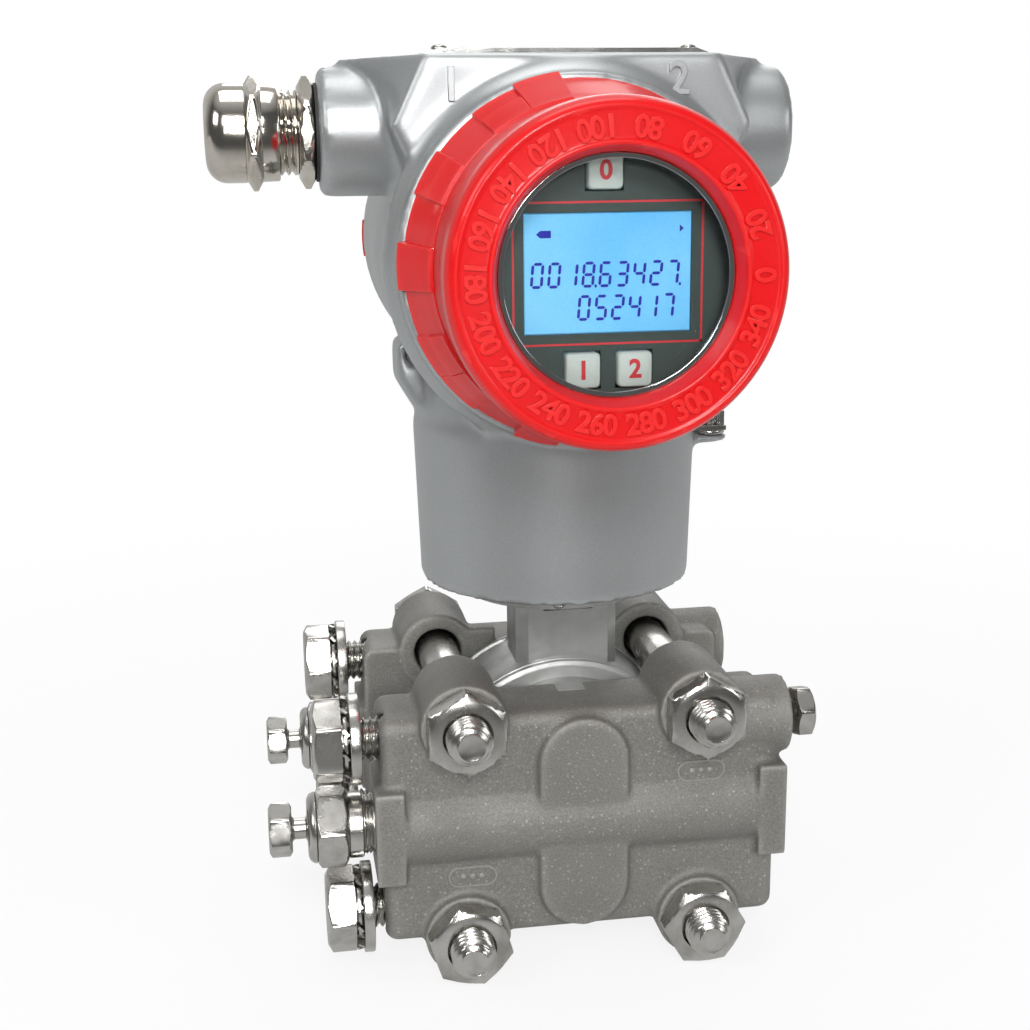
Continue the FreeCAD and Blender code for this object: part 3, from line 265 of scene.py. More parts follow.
def turned(rows, placement, columns=96, closed=False, wave=None):
    """A shape turned from rows of (radius, height) or (radius, height, flats), in millimetres.
    A row with flats keeps inside that hexagon; wave(angle, radius, height) adds to the radius.
    A closed profile makes a ring, and an open one is capped at both ends."""
    degrees = np.array(columns if isinstance(columns, list) else np.arange(columns) * 360.0 / columns)
    angle = np.radians(degrees)
    from_flat = np.radians(degrees % 60.0 - 30.0)
    rings = []
    for radius, height, *flats in rows:
        reach = np.full_like(angle, radius)
        if flats:
            reach = np.minimum(reach, flats[0] / 2 / np.cos(from_flat))
        if wave:
            reach = reach + wave(angle, radius, height)
        rings.append(np.column_stack((reach * np.cos(angle), reach * np.sin(angle),
                                      np.full_like(angle, height))))
    count = len(angle)
    faces = []
    for row in range(len(rows) if closed else len(rows) - 1):
        low, high = row * count, (row + 1) % len(rows) * count
        for column in range(count):
            after = (column + 1) % count
            faces.append((low + column, low + after, high + after, high + column))
    if not closed:
        faces.append(tuple(range(count))[::-1])
        faces.append(tuple(range((len(rows) - 1) * count, len(rows) * count)))
    return moved((np.vstack(rings), faces), placement)


def moved(shape, placement):
    """A shape in millimetres as points in metres, after a placement."""
    points, faces = shape
    matrix = np.array(placement)
    return np.asarray(points) * MM @ matrix[:3, :3].T + matrix[:3, 3], faces


def joined(name, shapes, sharp=32.0):
    """One mesh from several shapes, smooth but for edges sharper than an angle."""
    points, faces, start = [], [], 0
    for more, polygons in shapes:
        points.append(more)
        faces += [tuple(corner + start for corner in polygon) for polygon in polygons]
        start += len(more)
    mesh = bpy.data.meshes.new(name)
    mesh.from_pydata(np.vstack(points).tolist(), [], faces)
    shape = bmesh.new()
    shape.from_mesh(mesh)
    bmesh.ops.recalc_face_normals(shape, faces=shape.faces)
    shape.to_mesh(mesh)
    shape.free()
    mesh.shade_smooth()
    mesh.set_sharp_from_angle(angle=math.radians(sharp))
    return mesh


def turned_piece(name, rows, placement, finish_and_place, sharp=32.0, **shape):
    """A piece of one turned shape; finish_and_place is its material, body, slot (not used) and CAD nodes."""
    return piece_of(name, joined(name, [turned(rows, placement, **shape)], sharp), *finish_and_place)


def eased(profile, radius, closed=False, steps=3):
    """A profile with its corners rounded off."""
    result = []
    for index, corner in enumerate(profile):
        if not closed and index in (0, len(profile) - 1):
            result.append(tuple(corner))
            continue
        corner = np.array(corner, float)
        ends = []
        for neighbour in (profile[index - 1], profile[(index + 1) % len(profile)]):
            way = np.array(neighbour, float) - corner
            length = np.linalg.norm(way)
            ends.append(corner + way / length * min(radius, 0.45 * length))
        for share in np.linspace(0, 1, steps + 1):
            bend = (1 - share) ** 2 * ends[0] + 2 * share * (1 - share) * corner + share ** 2 * ends[1]
            result.append(tuple(bend))
    return result


def thread(radius, start, end, pitch, point=0.0):
    """The rows of a screw thread between two heights, and the wave that cuts it. The thread
    fades out at both ends, or runs into a point chamfered over the given length."""
    depth = 0.55 * pitch
    fade_length = 0.6 * pitch

    def wave(angle, row_radius, height):
        if not start <= height <= end or abs(row_radius - radius) > 0.01:
            return 0.0
        ridge = np.abs(2 * ((height / pitch - angle / (2 * math.pi)) % 1.0) - 1)
        room = height - start if point else min(height - start, end - height)
        cut = -depth * np.clip(room / fade_length, 0, 1) * np.clip(1.3 * ridge - 0.15, 0, 1)
        taper = max(0.0, height - (end - point)) * POINT_SLOPE if point else 0.0
        return cut * (1 - 0.15 * taper) - taper

    count = math.ceil((end - start) / pitch * 9)
    return [(radius, start + (end - start) * step / count) for step in range(count + 1)], wave


def hex_rows(flats, low, high, both=False):
    """A hexagon whose outer end, or both ends, are turned off at thirty degrees."""
    flat, corner = flats / 2 * 0.93, flats / math.sqrt(3) - 0.12
    slope = (corner - flat) * math.tan(math.radians(30))
    shares = (0.0, 0.2, 0.4, 0.6, 0.8, 1.0)
    bottom = [(flat + (corner - flat) * share, low + slope * share, flats) for share in shares]
    top = [(flat + (corner - flat) * share, high - slope * share, flats) for share in shares[::-1]]
    return (bottom if both else [(corner - 0.15, low, flats), (corner, low + 0.15, flats)]) + top


# Bright bar: cloudy tint, faint curling scratches and fingermarks that change the gloss.
bar, given, result = node_group(
    "Turned metal",
    {"Colour": BRIGHT, "Tint": BRIGHT_TINT, "Clouds": 160.0, "Scratches": 900.0,
     "Scratch Amount": 0.35, "Roughness": 0.2, "Roughness Spread": 0.08},
    {"Colour": "Color", "Roughness": "Float", "Height": "Float"})
place = node(bar, "TexCoord").outputs["Object"]
clouds = node(bar, "TexNoise", {"Vector": place, "Scale": given["Clouds"], "Detail": 3.0}).outputs[0]
lines = node(bar, "TexNoise", {"Vector": place, "Scale": given["Scratches"], "Detail": 5.0,
                               "Distortion": 6.0}).outputs[0]
lines = ramp(bar, lines, 0.52, 0.66)
tone = math_node(bar, "MAXIMUM", ramp(bar, clouds, 0.4, 0.75),
                 math_node(bar, "MULTIPLY", lines, given["Scratch Amount"]))
tinted = blend_colours(bar, tone, given["Colour"], given["Tint"])
close_group(bar, given, result, clouds, tinted, lines)

bright_steel = finish("bright stainless steel", bar, bump=0.12, depth=0.03,
                      values={"Roughness": 0.24, "Roughness Spread": 0.08}, Metallic=1.0)

stud_low, stud_high = box_mm("flange_studs")
stud_x = (stud_low.x + STUD_RADIUS, stud_high.x - STUD_RADIUS)
stud_z = (stud_low.z + STUD_RADIUS, stud_high.z - STUD_RADIUS)
middle_y = (stud_low.y + stud_high.y) / 2
stud_end = (stud_high.y - stud_low.y) / 2
nut_low, nut_high = box_mm("front_nuts")
nut_seat = middle_y - nut_high.y
nut_height = nut_high.y - nut_low.y
threaded, stud_wave = thread(STUD_RADIUS, nut_seat - 2, stud_end, STUD_PITCH, STUD_POINT)
stud_half = threaded + [(2.9, stud_end), (2.65, stud_end - 0.12), (0.8, stud_end - 0.2)]


def both_ends(wave):
    """The same wave on a mirrored pair of ends."""
    return lambda angle, radius, height: wave(angle, radius, abs(height))


def flipped(wave):
    """The same wave on a shank that runs down from its head."""
    return lambda angle, radius, height: wave(angle, radius, -height)


stud_rows = [(radius, -height) for radius, height in stud_half[::-1]] + stud_half
studs = [turned(stud_rows, seated((x, middle_y, z), "rear", 40 * x + z), 72, wave=both_ends(stud_wave))
         for x in stud_x for z in stud_z]
piece_of("flange_stud_bars", joined("studs", studs, 38), bright_steel, "base", "bright_steel",
         "flange_studs")

nut_rows = [(STUD_RADIUS + 0.05, 0.5), (STUD_RADIUS + 0.6, 0.0)]
nut_rows += hex_rows(NUT_FLATS, 0.0, nut_height, both=True)
nut_rows += [(STUD_RADIUS + 0.6, nut_height), (STUD_RADIUS + 0.05, nut_height - 0.5)]
for end, sign in (("front", -1), ("rear", 1)):
    nuts = [turned(nut_rows, seated((x, middle_y + sign * nut_seat, z), end, NUT_TURNS[i][j]),
                   HEX_COLUMNS, closed=True)
            for i, x in enumerate(stud_x) for j, z in enumerate(stud_z)]
    piece_of(f"{end}_hex_nuts", joined("nuts", nuts), bright_steel, "base", "bright_steel", f"{end}_nuts")

washer_low, washer_high = box_mm("flat_washers")
bolt_high = box_mm("side_bolts")[1]
bolt_y = (washer_low.y + WASHER_RADIUS, washer_high.y - WASHER_RADIUS)
bolt_z = (washer_low.z + WASHER_RADIUS, washer_high.z - WASHER_RADIUS)
lower_face = washer_high.x - WASHER_THICKNESS
upper_face = washer_low.x
WASHER_BORE = 5.35
TEETH = 11
TOOTH_LEAN = 38.0
TOOTH_TIP = (0.85, 0.8)
BOX_FACES = [(0, 1, 3, 2), (4, 6, 7, 5), (0, 4, 5, 1), (2, 3, 7, 6), (0, 2, 6, 4), (1, 5, 7, 3)]


def toothed_washer(placement):
    """A lock washer: a thin ring with twisted teeth inside and outside."""
    shapes = [turned(eased([(6.2, -0.45), (8.0, -0.45), (8.0, 0.45), (6.2, 0.45)], 0.2, True),
                     placement, 60, closed=True)]
    for tooth in range(2 * TEETH):
        outer = tooth % 2 == 0
        near, far = (7.7, 9.6) if outer else (6.4, 5.25)
        lean = Matrix.Rotation(math.radians(TOOTH_LEAN if outer else -TOOTH_LEAN), 4, "X")
        swing = Matrix.Rotation(2 * math.pi * tooth / (2 * TEETH), 4, "Z")
        corners = [(x, y * wide, z * thick)
                   for x, wide, thick in ((near, 1.0, 1.0), (far, *TOOTH_TIP))
                   for y in (-1.0, 1.0) for z in (-0.4, 0.4)]
        shapes.append(moved((corners, BOX_FACES), placement @ swing @ lean))
    return shapes


bolt_shapes, washer_shapes, tooth_shapes = [], [], []
for side, y in zip((-1, 1), bolt_y):
    for up, z in zip((-1, 1), bolt_z):
        face = upper_face if up > 0 else lower_face
        length = bolt_high.x - face
        shank, wave = thread(STUD_RADIUS, 0.3, length + TOOTH_STACK - 0.2, STUD_PITCH)
        twist = BOLT_TWISTS[side, up]
        rows = [(radius, -height) for radius, height in shank[::-1]]
        rows += [(STUD_RADIUS, -0.1), (STUD_RADIUS + 0.3, 0.0)] + hex_rows(NUT_FLATS, 0.0, BOLT_HEAD)
        rows += [(NUT_FLATS / 2 * 0.9, BOLT_HEAD), (NUT_FLATS / 2 * 0.88, BOLT_HEAD - 0.12)]
        place = seated((face - TOOTH_STACK, y, z), "left", twist)
        bolt_shapes.append(turned(rows, place, HEX_COLUMNS, wave=flipped(wave)))
        ring = eased([(WASHER_BORE, 0), (WASHER_RADIUS, 0), (WASHER_RADIUS, WASHER_THICKNESS),
                      (WASHER_BORE, WASHER_THICKNESS)], 0.35, True)
        place = seated((face + WASHER_THICKNESS, y, z), "left")
        washer_shapes.append(turned(ring, place, 72, closed=True))
        tooth_shapes += toothed_washer(seated((face - TOOTH_STACK / 2, y, z), "left", twist))
piece_of("mounting_bolts", joined("bolts", bolt_shapes, 40), bright_steel, "base", "bright_steel",
         "side_bolts")
piece_of("plain_washers", joined("washers", washer_shapes), bright_steel, "base", "bright_steel",
         "flat_washers")
piece_of("toothed_lock_washers", joined("teeth", tooth_shapes, 20), bright_steel, "base",
         "bright_steel", "tooth_washers")

# ---- vent valves ----
# Small bleed valves turned from hexagon bar: a body screwed into the end of each flange and a
# vent screw that presses a ball on its seat. A third screw sits straight in the casting.

PORT_OFFSET = 27.0
VENT_FLATS = 16.5
VENT_STUB = 10.0
VENT_THREAD = 6.85
VENT_PITCH = 0.8
VENT_DOME = 5.9
VENT_DOME_RISE = 1.9
VENT_COLLAR = 2.4
VENT_HEX = 5.8
VENT_HEX_END = 13.0
VENT_DOME_END = 14.9
SCREW_FLATS = 10.8
SCREW_HEAD = 5.2
SIDE_SCREW_HEAD = 4.3
SCREW_RADIUS = 3.1
SCREW_NECK = 2.35
VENT_TURN = 20.0
SCREW_TURN = 15.0

vent_low, vent_high = box_mm("vent_bodies")
vent_seat = vent_high.x - VENT_STUB
vent_z = (vent_low.z + vent_high.z) / 2
vent_bodies = []
threaded, vent_wave = thread(VENT_THREAD, 0.0, VENT_COLLAR, VENT_PITCH)
dome = [(VENT_DOME + (VENT_FLATS / 2 * 0.975 - VENT_DOME) * math.cos(t),
         VENT_HEX_END + VENT_DOME_RISE * math.sin(t)) for t in np.radians(np.linspace(0, 90, 7))]
vent_rows = [(SCREW_RADIUS + 0.05, -VENT_STUB), (5.5, -VENT_STUB), (5.6, -0.1)] + threaded
vent_rows += [(7.2, VENT_COLLAR), (7.5, VENT_COLLAR + 0.3), (7.5, VENT_HEX - 0.3), (7.2, VENT_HEX)]
vent_rows += hex_rows(VENT_FLATS, VENT_HEX, VENT_HEX_END, both=True) + dome
vent_rows += [(4.2, VENT_DOME_END), (3.9, VENT_DOME_END - 0.4),
              (SCREW_RADIUS + 0.05, VENT_DOME_END - 0.4)]
for side in (-1, 1):
    place = seated((vent_seat, middle_y + side * PORT_OFFSET, vent_z), "left", side * VENT_TURN)
    vent_bodies.append(turned(vent_rows, place, HEX_COLUMNS, closed=True, wave=vent_wave))
piece_of("vent_valve_bodies", joined("vents", vent_bodies), bright_steel, "base", "bright_steel",
         "vent_bodies")
for name, facing in (("front", "left"), ("rear", "left"), ("side", "right")):
    low, high = box_mm(f"vent_screw_{name}")
    head_end, tip = (low.x, high.x) if facing == "left" else (high.x, low.x)
    reach = abs(head_end - tip)
    head = reach - (SIDE_SCREW_HEAD if name == "side" else SCREW_HEAD)
    rows = [(1.2, 0.0), (SCREW_RADIUS - 0.4, 1.2), (SCREW_RADIUS, 1.8), (SCREW_RADIUS, head - 3.4),
            (SCREW_NECK, head - 3.0), (SCREW_NECK, head - 0.5), (SCREW_NECK + 0.5, head)]
    rows += hex_rows(SCREW_FLATS, head, reach, both=True)
    rows += [(SCREW_FLATS / 2 * 0.7, reach), (SCREW_FLATS / 2 * 0.66, reach - 0.1)]
    place = seated((tip, (low.y + high.y) / 2, (low.z + high.z) / 2), facing, SCREW_TURN)
    screw = f"vent_screw_{name}"
    turned_piece(f"bleed_screw_{name}", rows, place, (bright_steel, screw, "bright_steel", screw),
                 columns=HEX_COLUMNS)


def dress(material, names, edge=0.0):
    """Gives CAD nodes a material, and rounds their sharp edges a little."""
    for name in names:
        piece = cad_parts[name]
        for slot in piece.material_slots:
            slot.link = "OBJECT"
            slot.material = material
        if edge:
            weld = piece.modifiers.new("weld", "WELD")
            weld.merge_threshold = 0.002 * MM
            flats = piece.modifiers.new("flats", "DECIMATE")
            flats.decimate_type = "DISSOLVE"
            flats.angle_limit = math.radians(0.4)
            bevel = piece.modifiers.new("edges", "BEVEL")
            bevel.width = edge * MM
            bevel.segments = 2
            bevel.angle_limit = math.radians(35)
            piece.modifiers.new("shading", "WEIGHTED_NORMAL")


dress(bright_steel, ["vent_ball_front", "vent_ball_rear", "vent_ball_side"])

# ---- sensor cell ----
# A turned stainless steel disc between the flanges, with an eight-sided neck and the collar and
# spigot that the housing swivels on. Thin diaphragms and black gaskets close its two faces.

# The cell's steel colour and tint are darkened as painted shade, for the shadow the disc sits in between the
# flanges.
SHADED_CELL_STEEL = (0.44, 0.445, 0.435)
cell_steel = finish("turned stainless steel", bar, bump=0.2, depth=0.04,
                    values={"Colour": SHADED_CELL_STEEL, "Tint": (0.32, 0.32, 0.31), "Roughness": 0.42,
                            "Roughness Spread": 0.1, "Scratch Amount": 0.5}, Metallic=0.65)
foil = finish("diaphragm foil", bar, bump=0.1, depth=0.02,
              values={"Colour": (0.6, 0.6, 0.58), "Tint": (0.5, 0.5, 0.48), "Roughness": 0.3}, Metallic=1.0)
BLACK_RUBBER = (0.02, 0.02, 0.021)
rubber = finish("seal rubber", skin, bump=0.3, depth=0.05,
                values={"Colour": BLACK_RUBBER, "Shade": (0.012, 0.012, 0.012), "Mottle": 200.0,
                        "Speck Colour": (0.06, 0.06, 0.06), "Specks": 0.2, "Edge Light": 0.1,
                        "Roughness": 0.65, "Roughness Spread": 0.08})
CELL_RADIUS = 31.0
CELL_HALF = 13.5
CELL_FACE_RADIUS = 27.0
SPIGOT_RADIUS = 20.0
SPIGOT_RISE = 29.6
COLLAR_HEIGHT = 4.0
WIRE_HOLE = 3.0
NO_NOTCH = 0.001
NECK_HALF = (12.2, 9.6)
NECK_CORNER = (2.6, 3.1)
NECK_SHIFT = 1.6
NOTCH_HALF = 5.9
NOTCH_HEIGHT = 4.0
NOTCH_DEPTH = 1.6
COLLAR_RADIUS = 22.0
cell_low, cell_high = box_mm("sensor_cell")
cell_x = (cell_low.x + cell_high.x) / 2
cell_z = cell_low.z + CELL_RADIUS
spigot_top = cell_high.z
neck_top = spigot_top - SPIGOT_RISE
face_reach = (cell_high.y - cell_low.y) / 2

# The disc: a face at each end, a rim with a groove beside each lip, and a plain middle.
disc_half = [(CELL_FACE_RADIUS, face_reach), (CELL_FACE_RADIUS, CELL_HALF), (29.9, CELL_HALF),
             (CELL_RADIUS, CELL_HALF - 0.5), (CELL_RADIUS, CELL_HALF - 1.7), (30.1, CELL_HALF - 2.0),
             (30.1, CELL_HALF - 2.9), (30.8, CELL_HALF - 3.2), (30.8, 0.0)]
disc_rows = eased(disc_half + [(radius, -height) for radius, height in disc_half[-2::-1]], 0.25)
at_cell = seated((cell_x, middle_y, cell_z), "rear")
cell_shapes = [turned(disc_rows, at_cell, 144)]
upright = seated((cell_x, middle_y, 0.0), "up")
collar_top = neck_top + COLLAR_HEIGHT
collar = [(WIRE_HOLE, neck_top), (COLLAR_RADIUS, neck_top), (COLLAR_RADIUS, collar_top),
          (SPIGOT_RADIUS, collar_top), (SPIGOT_RADIUS, spigot_top), (WIRE_HOLE, spigot_top)]
cell_shapes.append(turned(eased(collar, 0.3, True), upright, 96, closed=True))


def neck_ring(height, notch):
    """The outline of the neck at a height, cut back where the wrench notch is."""
    half_x, half_y = NECK_HALF
    corner_x, corner_y = NECK_CORNER
    front = -half_y + notch
    ring = [(-half_x, half_y - corner_y), (-half_x, corner_y - half_y), (corner_x - half_x, -half_y),
            (-NOTCH_HALF, -half_y), (-NOTCH_HALF, front), (NOTCH_HALF, front), (NOTCH_HALF, -half_y),
            (half_x - corner_x, -half_y), (half_x, corner_y - half_y), (half_x, half_y - corner_y),
            (half_x - corner_x, half_y), (corner_x - half_x, half_y)]
    return [(x + NECK_SHIFT, y, height) for x, y in ring]


notch_floor = neck_top - NOTCH_HEIGHT
levels = ((cell_z + 20.0, NO_NOTCH), (notch_floor, NO_NOTCH), (notch_floor, NOTCH_DEPTH),
          (neck_top + 0.2, NOTCH_DEPTH))
neck_points = [point for height, notch in levels for point in neck_ring(height, notch)]
ring = len(neck_points) // len(levels)
neck_faces = [(row * ring + column, row * ring + (column + 1) % ring,
               (row + 1) * ring + (column + 1) % ring, (row + 1) * ring + column)
              for row in range(len(levels) - 1) for column in range(ring)]
neck_faces += [tuple(range(ring))[::-1], tuple(range((len(levels) - 1) * ring, len(levels) * ring))]
cell_shapes.append(moved((neck_points, neck_faces), upright))
piece_of("measuring_cell", joined("cell", cell_shapes, 30), cell_steel, "base", "machined_steel",
         "sensor_cell")
dress(bright_steel, ["swivel_set_screw"], edge=0.1)
dress(foil, ["cell_diaphragms"])
dress(rubber, ["cell_gaskets", "gland_seal", "gland_insert", "front_cover_seal", "rear_cover_seal"])

# ---- housing casting ----
# A die-cast aluminium drum on a round neck, with a boss for each cable way and broad webs
# between them. It is sprayed silver grey; where the bosses run into the face the pattern
# maker left large fillets.

PAINT_SILVER = (0.42, 0.435, 0.44)
PAINT_SHADE = (0.32, 0.335, 0.34)
HOUSING_VOXEL = 0.9
HOUSING_PASSES = 9

drum_middle = sum(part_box("window_glass"), Vector()) / 2 / MM
drum_x, drum_z = drum_middle.x, drum_middle.z
housing_low, housing_high = box_mm("housing")
drum_front_y, drum_rear_y = housing_low.y, housing_high.y
FACE_BACK = 7.0
LUG_RISE = 2.3


def casting_freedom(points):
    """Machined ends keep their edges; the webs and bosses round the drum are eased most."""
    x, y, z = points.T
    inside = np.hypot(x - drum_x, z - drum_z) < 37.0
    ends = (y < housing_low.y + 3.0) | (y > housing_high.y - 1.6)
    boss_ends = (x < housing_low.x + 1.6) | (x > housing_high.x - 1.6)
    freedom = np.full(len(x), 0.8)
    freedom[(z < housing_low.z + 1.5) | (inside & (z > drum_z - 30)) | ends | boss_ends] = 0.12
    return freedom


silver_paint = finish("sprayed silver grey", skin, bump=0.3, depth=0.06,
                      values={"Colour": PAINT_SILVER, "Shade": PAINT_SHADE,
                              "Speck Colour": (0.55, 0.57, 0.58), "Grain": 3000.0, "Mottle": 45.0,
                              "Mottle Amount": 0.15, "Grain Amount": 0.5, "Specks": 0.2,
                              "Edge Light": 0.35, "Roughness": 0.40, "Roughness Spread": 0.03},
                      Metallic=0.75, Coat_Weight=0.1, Coat_Roughness=0.3)
casting = as_cast("housing", "housing_casting", HOUSING_VOXEL, HOUSING_PASSES, casting_freedom)
piece_of("housing_casting", casting, silver_paint, "housing", "housing_finish", "housing")

# ---- cast marks ----
# Raised from the moulds: a plain numeral beside each cable way, and on the front flange two
# oblong frames with a row of studs in them, where a foundry puts its mark.

NUMERAL_RISE = 0.75


def numeral(text, height, rise, bevel=0.12, bolder=0.0):
    """A raised numeral lying in the XY plane, in millimetres, as a shape."""
    curve = bpy.data.curves.new("numeral", "FONT")
    curve.body = text
    curve.size = height / 0.69
    curve.align_x = "CENTER"
    curve.align_y = "CENTER"
    curve.extrude = rise
    curve.bevel_depth = bevel
    curve.offset = bolder
    curve.bevel_resolution = 1
    curve.resolution_u = 3
    holder = bpy.data.objects.new("numeral", curve)
    bpy.context.scene.collection.objects.link(holder)
    bpy.context.view_layer.update()
    mesh = bpy.data.meshes.new_from_object(holder.evaluated_get(bpy.context.evaluated_depsgraph_get()))
    points = np.array([tuple(vertex.co) for vertex in mesh.vertices])
    faces = [tuple(polygon.vertices) for polygon in mesh.polygons]
    bpy.data.objects.remove(holder)
    return points, faces


face_y = drum_front_y + FACE_BACK
marks = []
for text, x, z in (("1", drum_x - 26.0, drum_z + 36.1), ("2", drum_x + 22.0, drum_z + 37.1)):
    marks.append(moved(numeral(text, 6.6, NUMERAL_RISE, 0.14, 0.06), seated((x, face_y, z), "front")))
piece_of("housing_numerals", joined("marks", marks, 50), silver_paint, "housing", "housing_finish")

FRAME_STRAIGHT = 3.1
FRAME_BEND = 2.3
FRAME_WIRE = 0.32
flange_face = nut_seat - LUG_RISE
oblongs = []
for x, z in ((-15.1, 23.75), (38.0, 45.35)):
    place = seated((x, middle_y - flange_face, z), "front")
    track = [(FRAME_STRAIGHT * (1 if math.cos(a) >= 0 else -1) + FRAME_BEND * math.cos(a),
              FRAME_BEND * math.sin(a)) for a in np.radians(np.arange(0, 360, 12) + 6)]
    rings = []
    for u, v in track:
        out = Vector((0, math.copysign(1, v)))
        if abs(u) > FRAME_STRAIGHT:
            out = Vector((u - math.copysign(FRAME_STRAIGHT, u), v)).normalized()
        for lift, width in ((-0.3, -FRAME_WIRE), (0.28, -FRAME_WIRE * 0.5), (0.28, FRAME_WIRE * 0.5),
                            (-0.3, FRAME_WIRE)):
            rings.append((u + out.x * width, v + out.y * width, lift))
    count = len(track)
    faces = [(4 * i + k, 4 * after + k, 4 * after + (k + 1) % 4, 4 * i + (k + 1) % 4)
             for i, after in zip(range(count), [*range(1, count), 0]) for k in range(4)]
    oblongs.append(moved((rings, faces), place))
    for step in (-1, 0, 1):
        aside = place @ Matrix.Translation((step * 2.1 * MM, 0, 0))
        oblongs.append(turned([(0.75, -0.3), (0.7, 0.15), (0.45, 0.32)], aside, 20))
piece_of("flange_cast_marks", joined("marks", oblongs, 60), sand_cast, "base", "cast_steel")

# ---- name plate and small fasteners ----
# A bare stainless plate screwed on top of the drum, the grub screw that locks the cover, and the
# earthing screw with its washer and clamp on a lug behind the neck.

plate_steel = finish("plate steel", bar, bump=0.1, depth=0.02,
                     values={"Colour": (0.62, 0.62, 0.60), "Tint": (0.48, 0.48, 0.46),
                             "Roughness": 0.22, "Roughness Spread": 0.06}, Metallic=1.0)
dress(plate_steel, ["tag_plate"], edge=0.2)
dress(bright_steel, ["cover_lock_screw", "ground_washer", "ground_clamp", "ground_screw"], edge=0.15)
tag_low, tag_high = box_mm("tag_screws")
TAG_SCREW = 1.7
TAG_HEAD = 0.7
dome = [(1.75 * math.cos(t), 0.15 + 0.95 * math.sin(t)) for t in np.radians(np.arange(0, 80, 13))]
rows = [(1.15, -4.1), (1.15, -0.1), (1.75, 0.0)] + dome + [(0.55, 1.05), (0.5, 0.6)]
heads = [turned(rows, seated((x, y, tag_high.z - TAG_HEAD), "up"), 36)
         for x in (tag_low.x + TAG_SCREW, tag_high.x - TAG_SCREW)
         for y in (tag_low.y + TAG_SCREW, tag_high.y - TAG_SCREW)]
piece_of("plate_rivet_screws", joined("heads", heads), bright_steel, "housing", "bright_steel",
         "tag_screws")

# ---- cable gland and blanking plug ----
# A nickel-plated brass gland: a hexagon body with a threaded spigot, and a domed nut that squeezes
# a rubber insert round the cable. The other cable way is closed by a plug of the same plating.

NICKEL = (0.66, 0.63, 0.57)
GLAND_PITCH = 1.5
GLAND_STUB = 12.0
GLAND_BORE = 6.2
GLAND_FLATS = 21.2
GLAND_HEX = 3.7
GLAND_THREAD = 9.15
GLAND_END = 15.5
GLAND_RING_FLATS = 21.9
DOME_RADIUS = 10.65
DOME_ROUND = 4.5
DOME_BORE = 9.3
DOME_LENGTH = 15.9
DOME_MOUTH = 5.6
PLUG_NUB = 0.8
nickel = finish("nickel-plated brass", bar, bump=0.08, depth=0.02,
                values={"Colour": NICKEL, "Tint": (0.52, 0.48, 0.42), "Roughness": 0.13,
                        "Roughness Spread": 0.05, "Scratch Amount": 0.25}, Metallic=1.0)
gland_low, gland_high = box_mm("gland_body")
gland_seat = gland_high.x - GLAND_STUB
gland_y, gland_z = (gland_low.y + gland_high.y) / 2, (gland_low.z + gland_high.z) / 2
at_gland = seated((gland_seat, gland_y, gland_z), "left")
spigot, wave = thread(GLAND_THREAD, GLAND_HEX + 0.2, GLAND_END - 0.2, GLAND_PITCH)
rows = [(GLAND_BORE, -GLAND_STUB), (8.6, -GLAND_STUB), (9.1, -11.4), (9.1, -0.05)]
rows += hex_rows(GLAND_FLATS, 0.0, GLAND_HEX, both=True) + [(8.7, GLAND_HEX)] + spigot
rows += [(8.6, GLAND_END), (GLAND_BORE, GLAND_END)]
turned_piece("gland_hex_body", rows, at_gland, (nickel, "housing", "nickel", "gland_body"),
             columns=HEX_COLUMNS, closed=True, wave=wave)
nut_end = gland_seat - box_mm("gland_nut")[0].x
nut_back = nut_end - DOME_LENGTH
dome = [(DOME_RADIUS - DOME_ROUND + DOME_ROUND * math.cos(t),
         nut_end - DOME_ROUND + DOME_ROUND * math.sin(t)) for t in np.radians(np.linspace(0, 84, 9))]
rows = [(DOME_BORE, nut_back), (10.1, nut_back), (10.35, nut_end - 15.6), (10.45, nut_end - 12.35)]
ring_rows = hex_rows(GLAND_RING_FLATS, nut_end - 12.3, nut_end - 8.7, both=True)
rows += [(max(10.5, radius), height, flats) for radius, height, flats in ring_rows]
rows += [(10.62, nut_end - 8.6)] + dome
# The mouth and bore lead back to the first row, which closes the ring, so that corner is left off.
rows += eased([(6.4, nut_end), (DOME_MOUTH, nut_end), (DOME_MOUTH, nut_end - 3.0), (9.25, nut_end - 3.0),
               (DOME_BORE, nut_back)], 0.35)[:-1]
place = at_gland @ Matrix.Rotation(math.radians(8), 4, "Z")
turned_piece("gland_dome_nut", rows, place, (nickel, "gland_nut", "nickel", "gland_nut"), 40,
             columns=HEX_COLUMNS, closed=True)
plug_low, plug_high = box_mm("blanking_plug")
at_plug = seated((plug_high.x - PLUG_NUB, gland_y, gland_z), "right")
plug_steel = finish("dull plug", bar, bump=0.2, depth=0.04,
                    values={"Colour": (0.46, 0.46, 0.45), "Tint": (0.3, 0.3, 0.3), "Roughness": 0.38},
                    Metallic=0.9)
length = plug_high.x - plug_low.x
rows = [(8.0, PLUG_NUB - length), (9.1, 1.6 - length)]
rows += eased([(9.1, -2.0), (9.1, -0.6), (7.6, -0.6), (7.2, -1.2), (3.4, -1.2), (2.6, -0.6),
               (2.6, PLUG_NUB), (1.0, PLUG_NUB)], 0.3)
turned_piece("closing_plug", rows, at_plug, (plug_steel, "housing", "plug", "blanking_plug"), columns=60)

# ---- threaded covers ----
# Die-cast aluminium caps with a male thread, sprayed glossy red. Castellations round the back of
# the grip ring give a strap wrench its hold; the front cover frames the window and carries a
# ring of raised numerals.

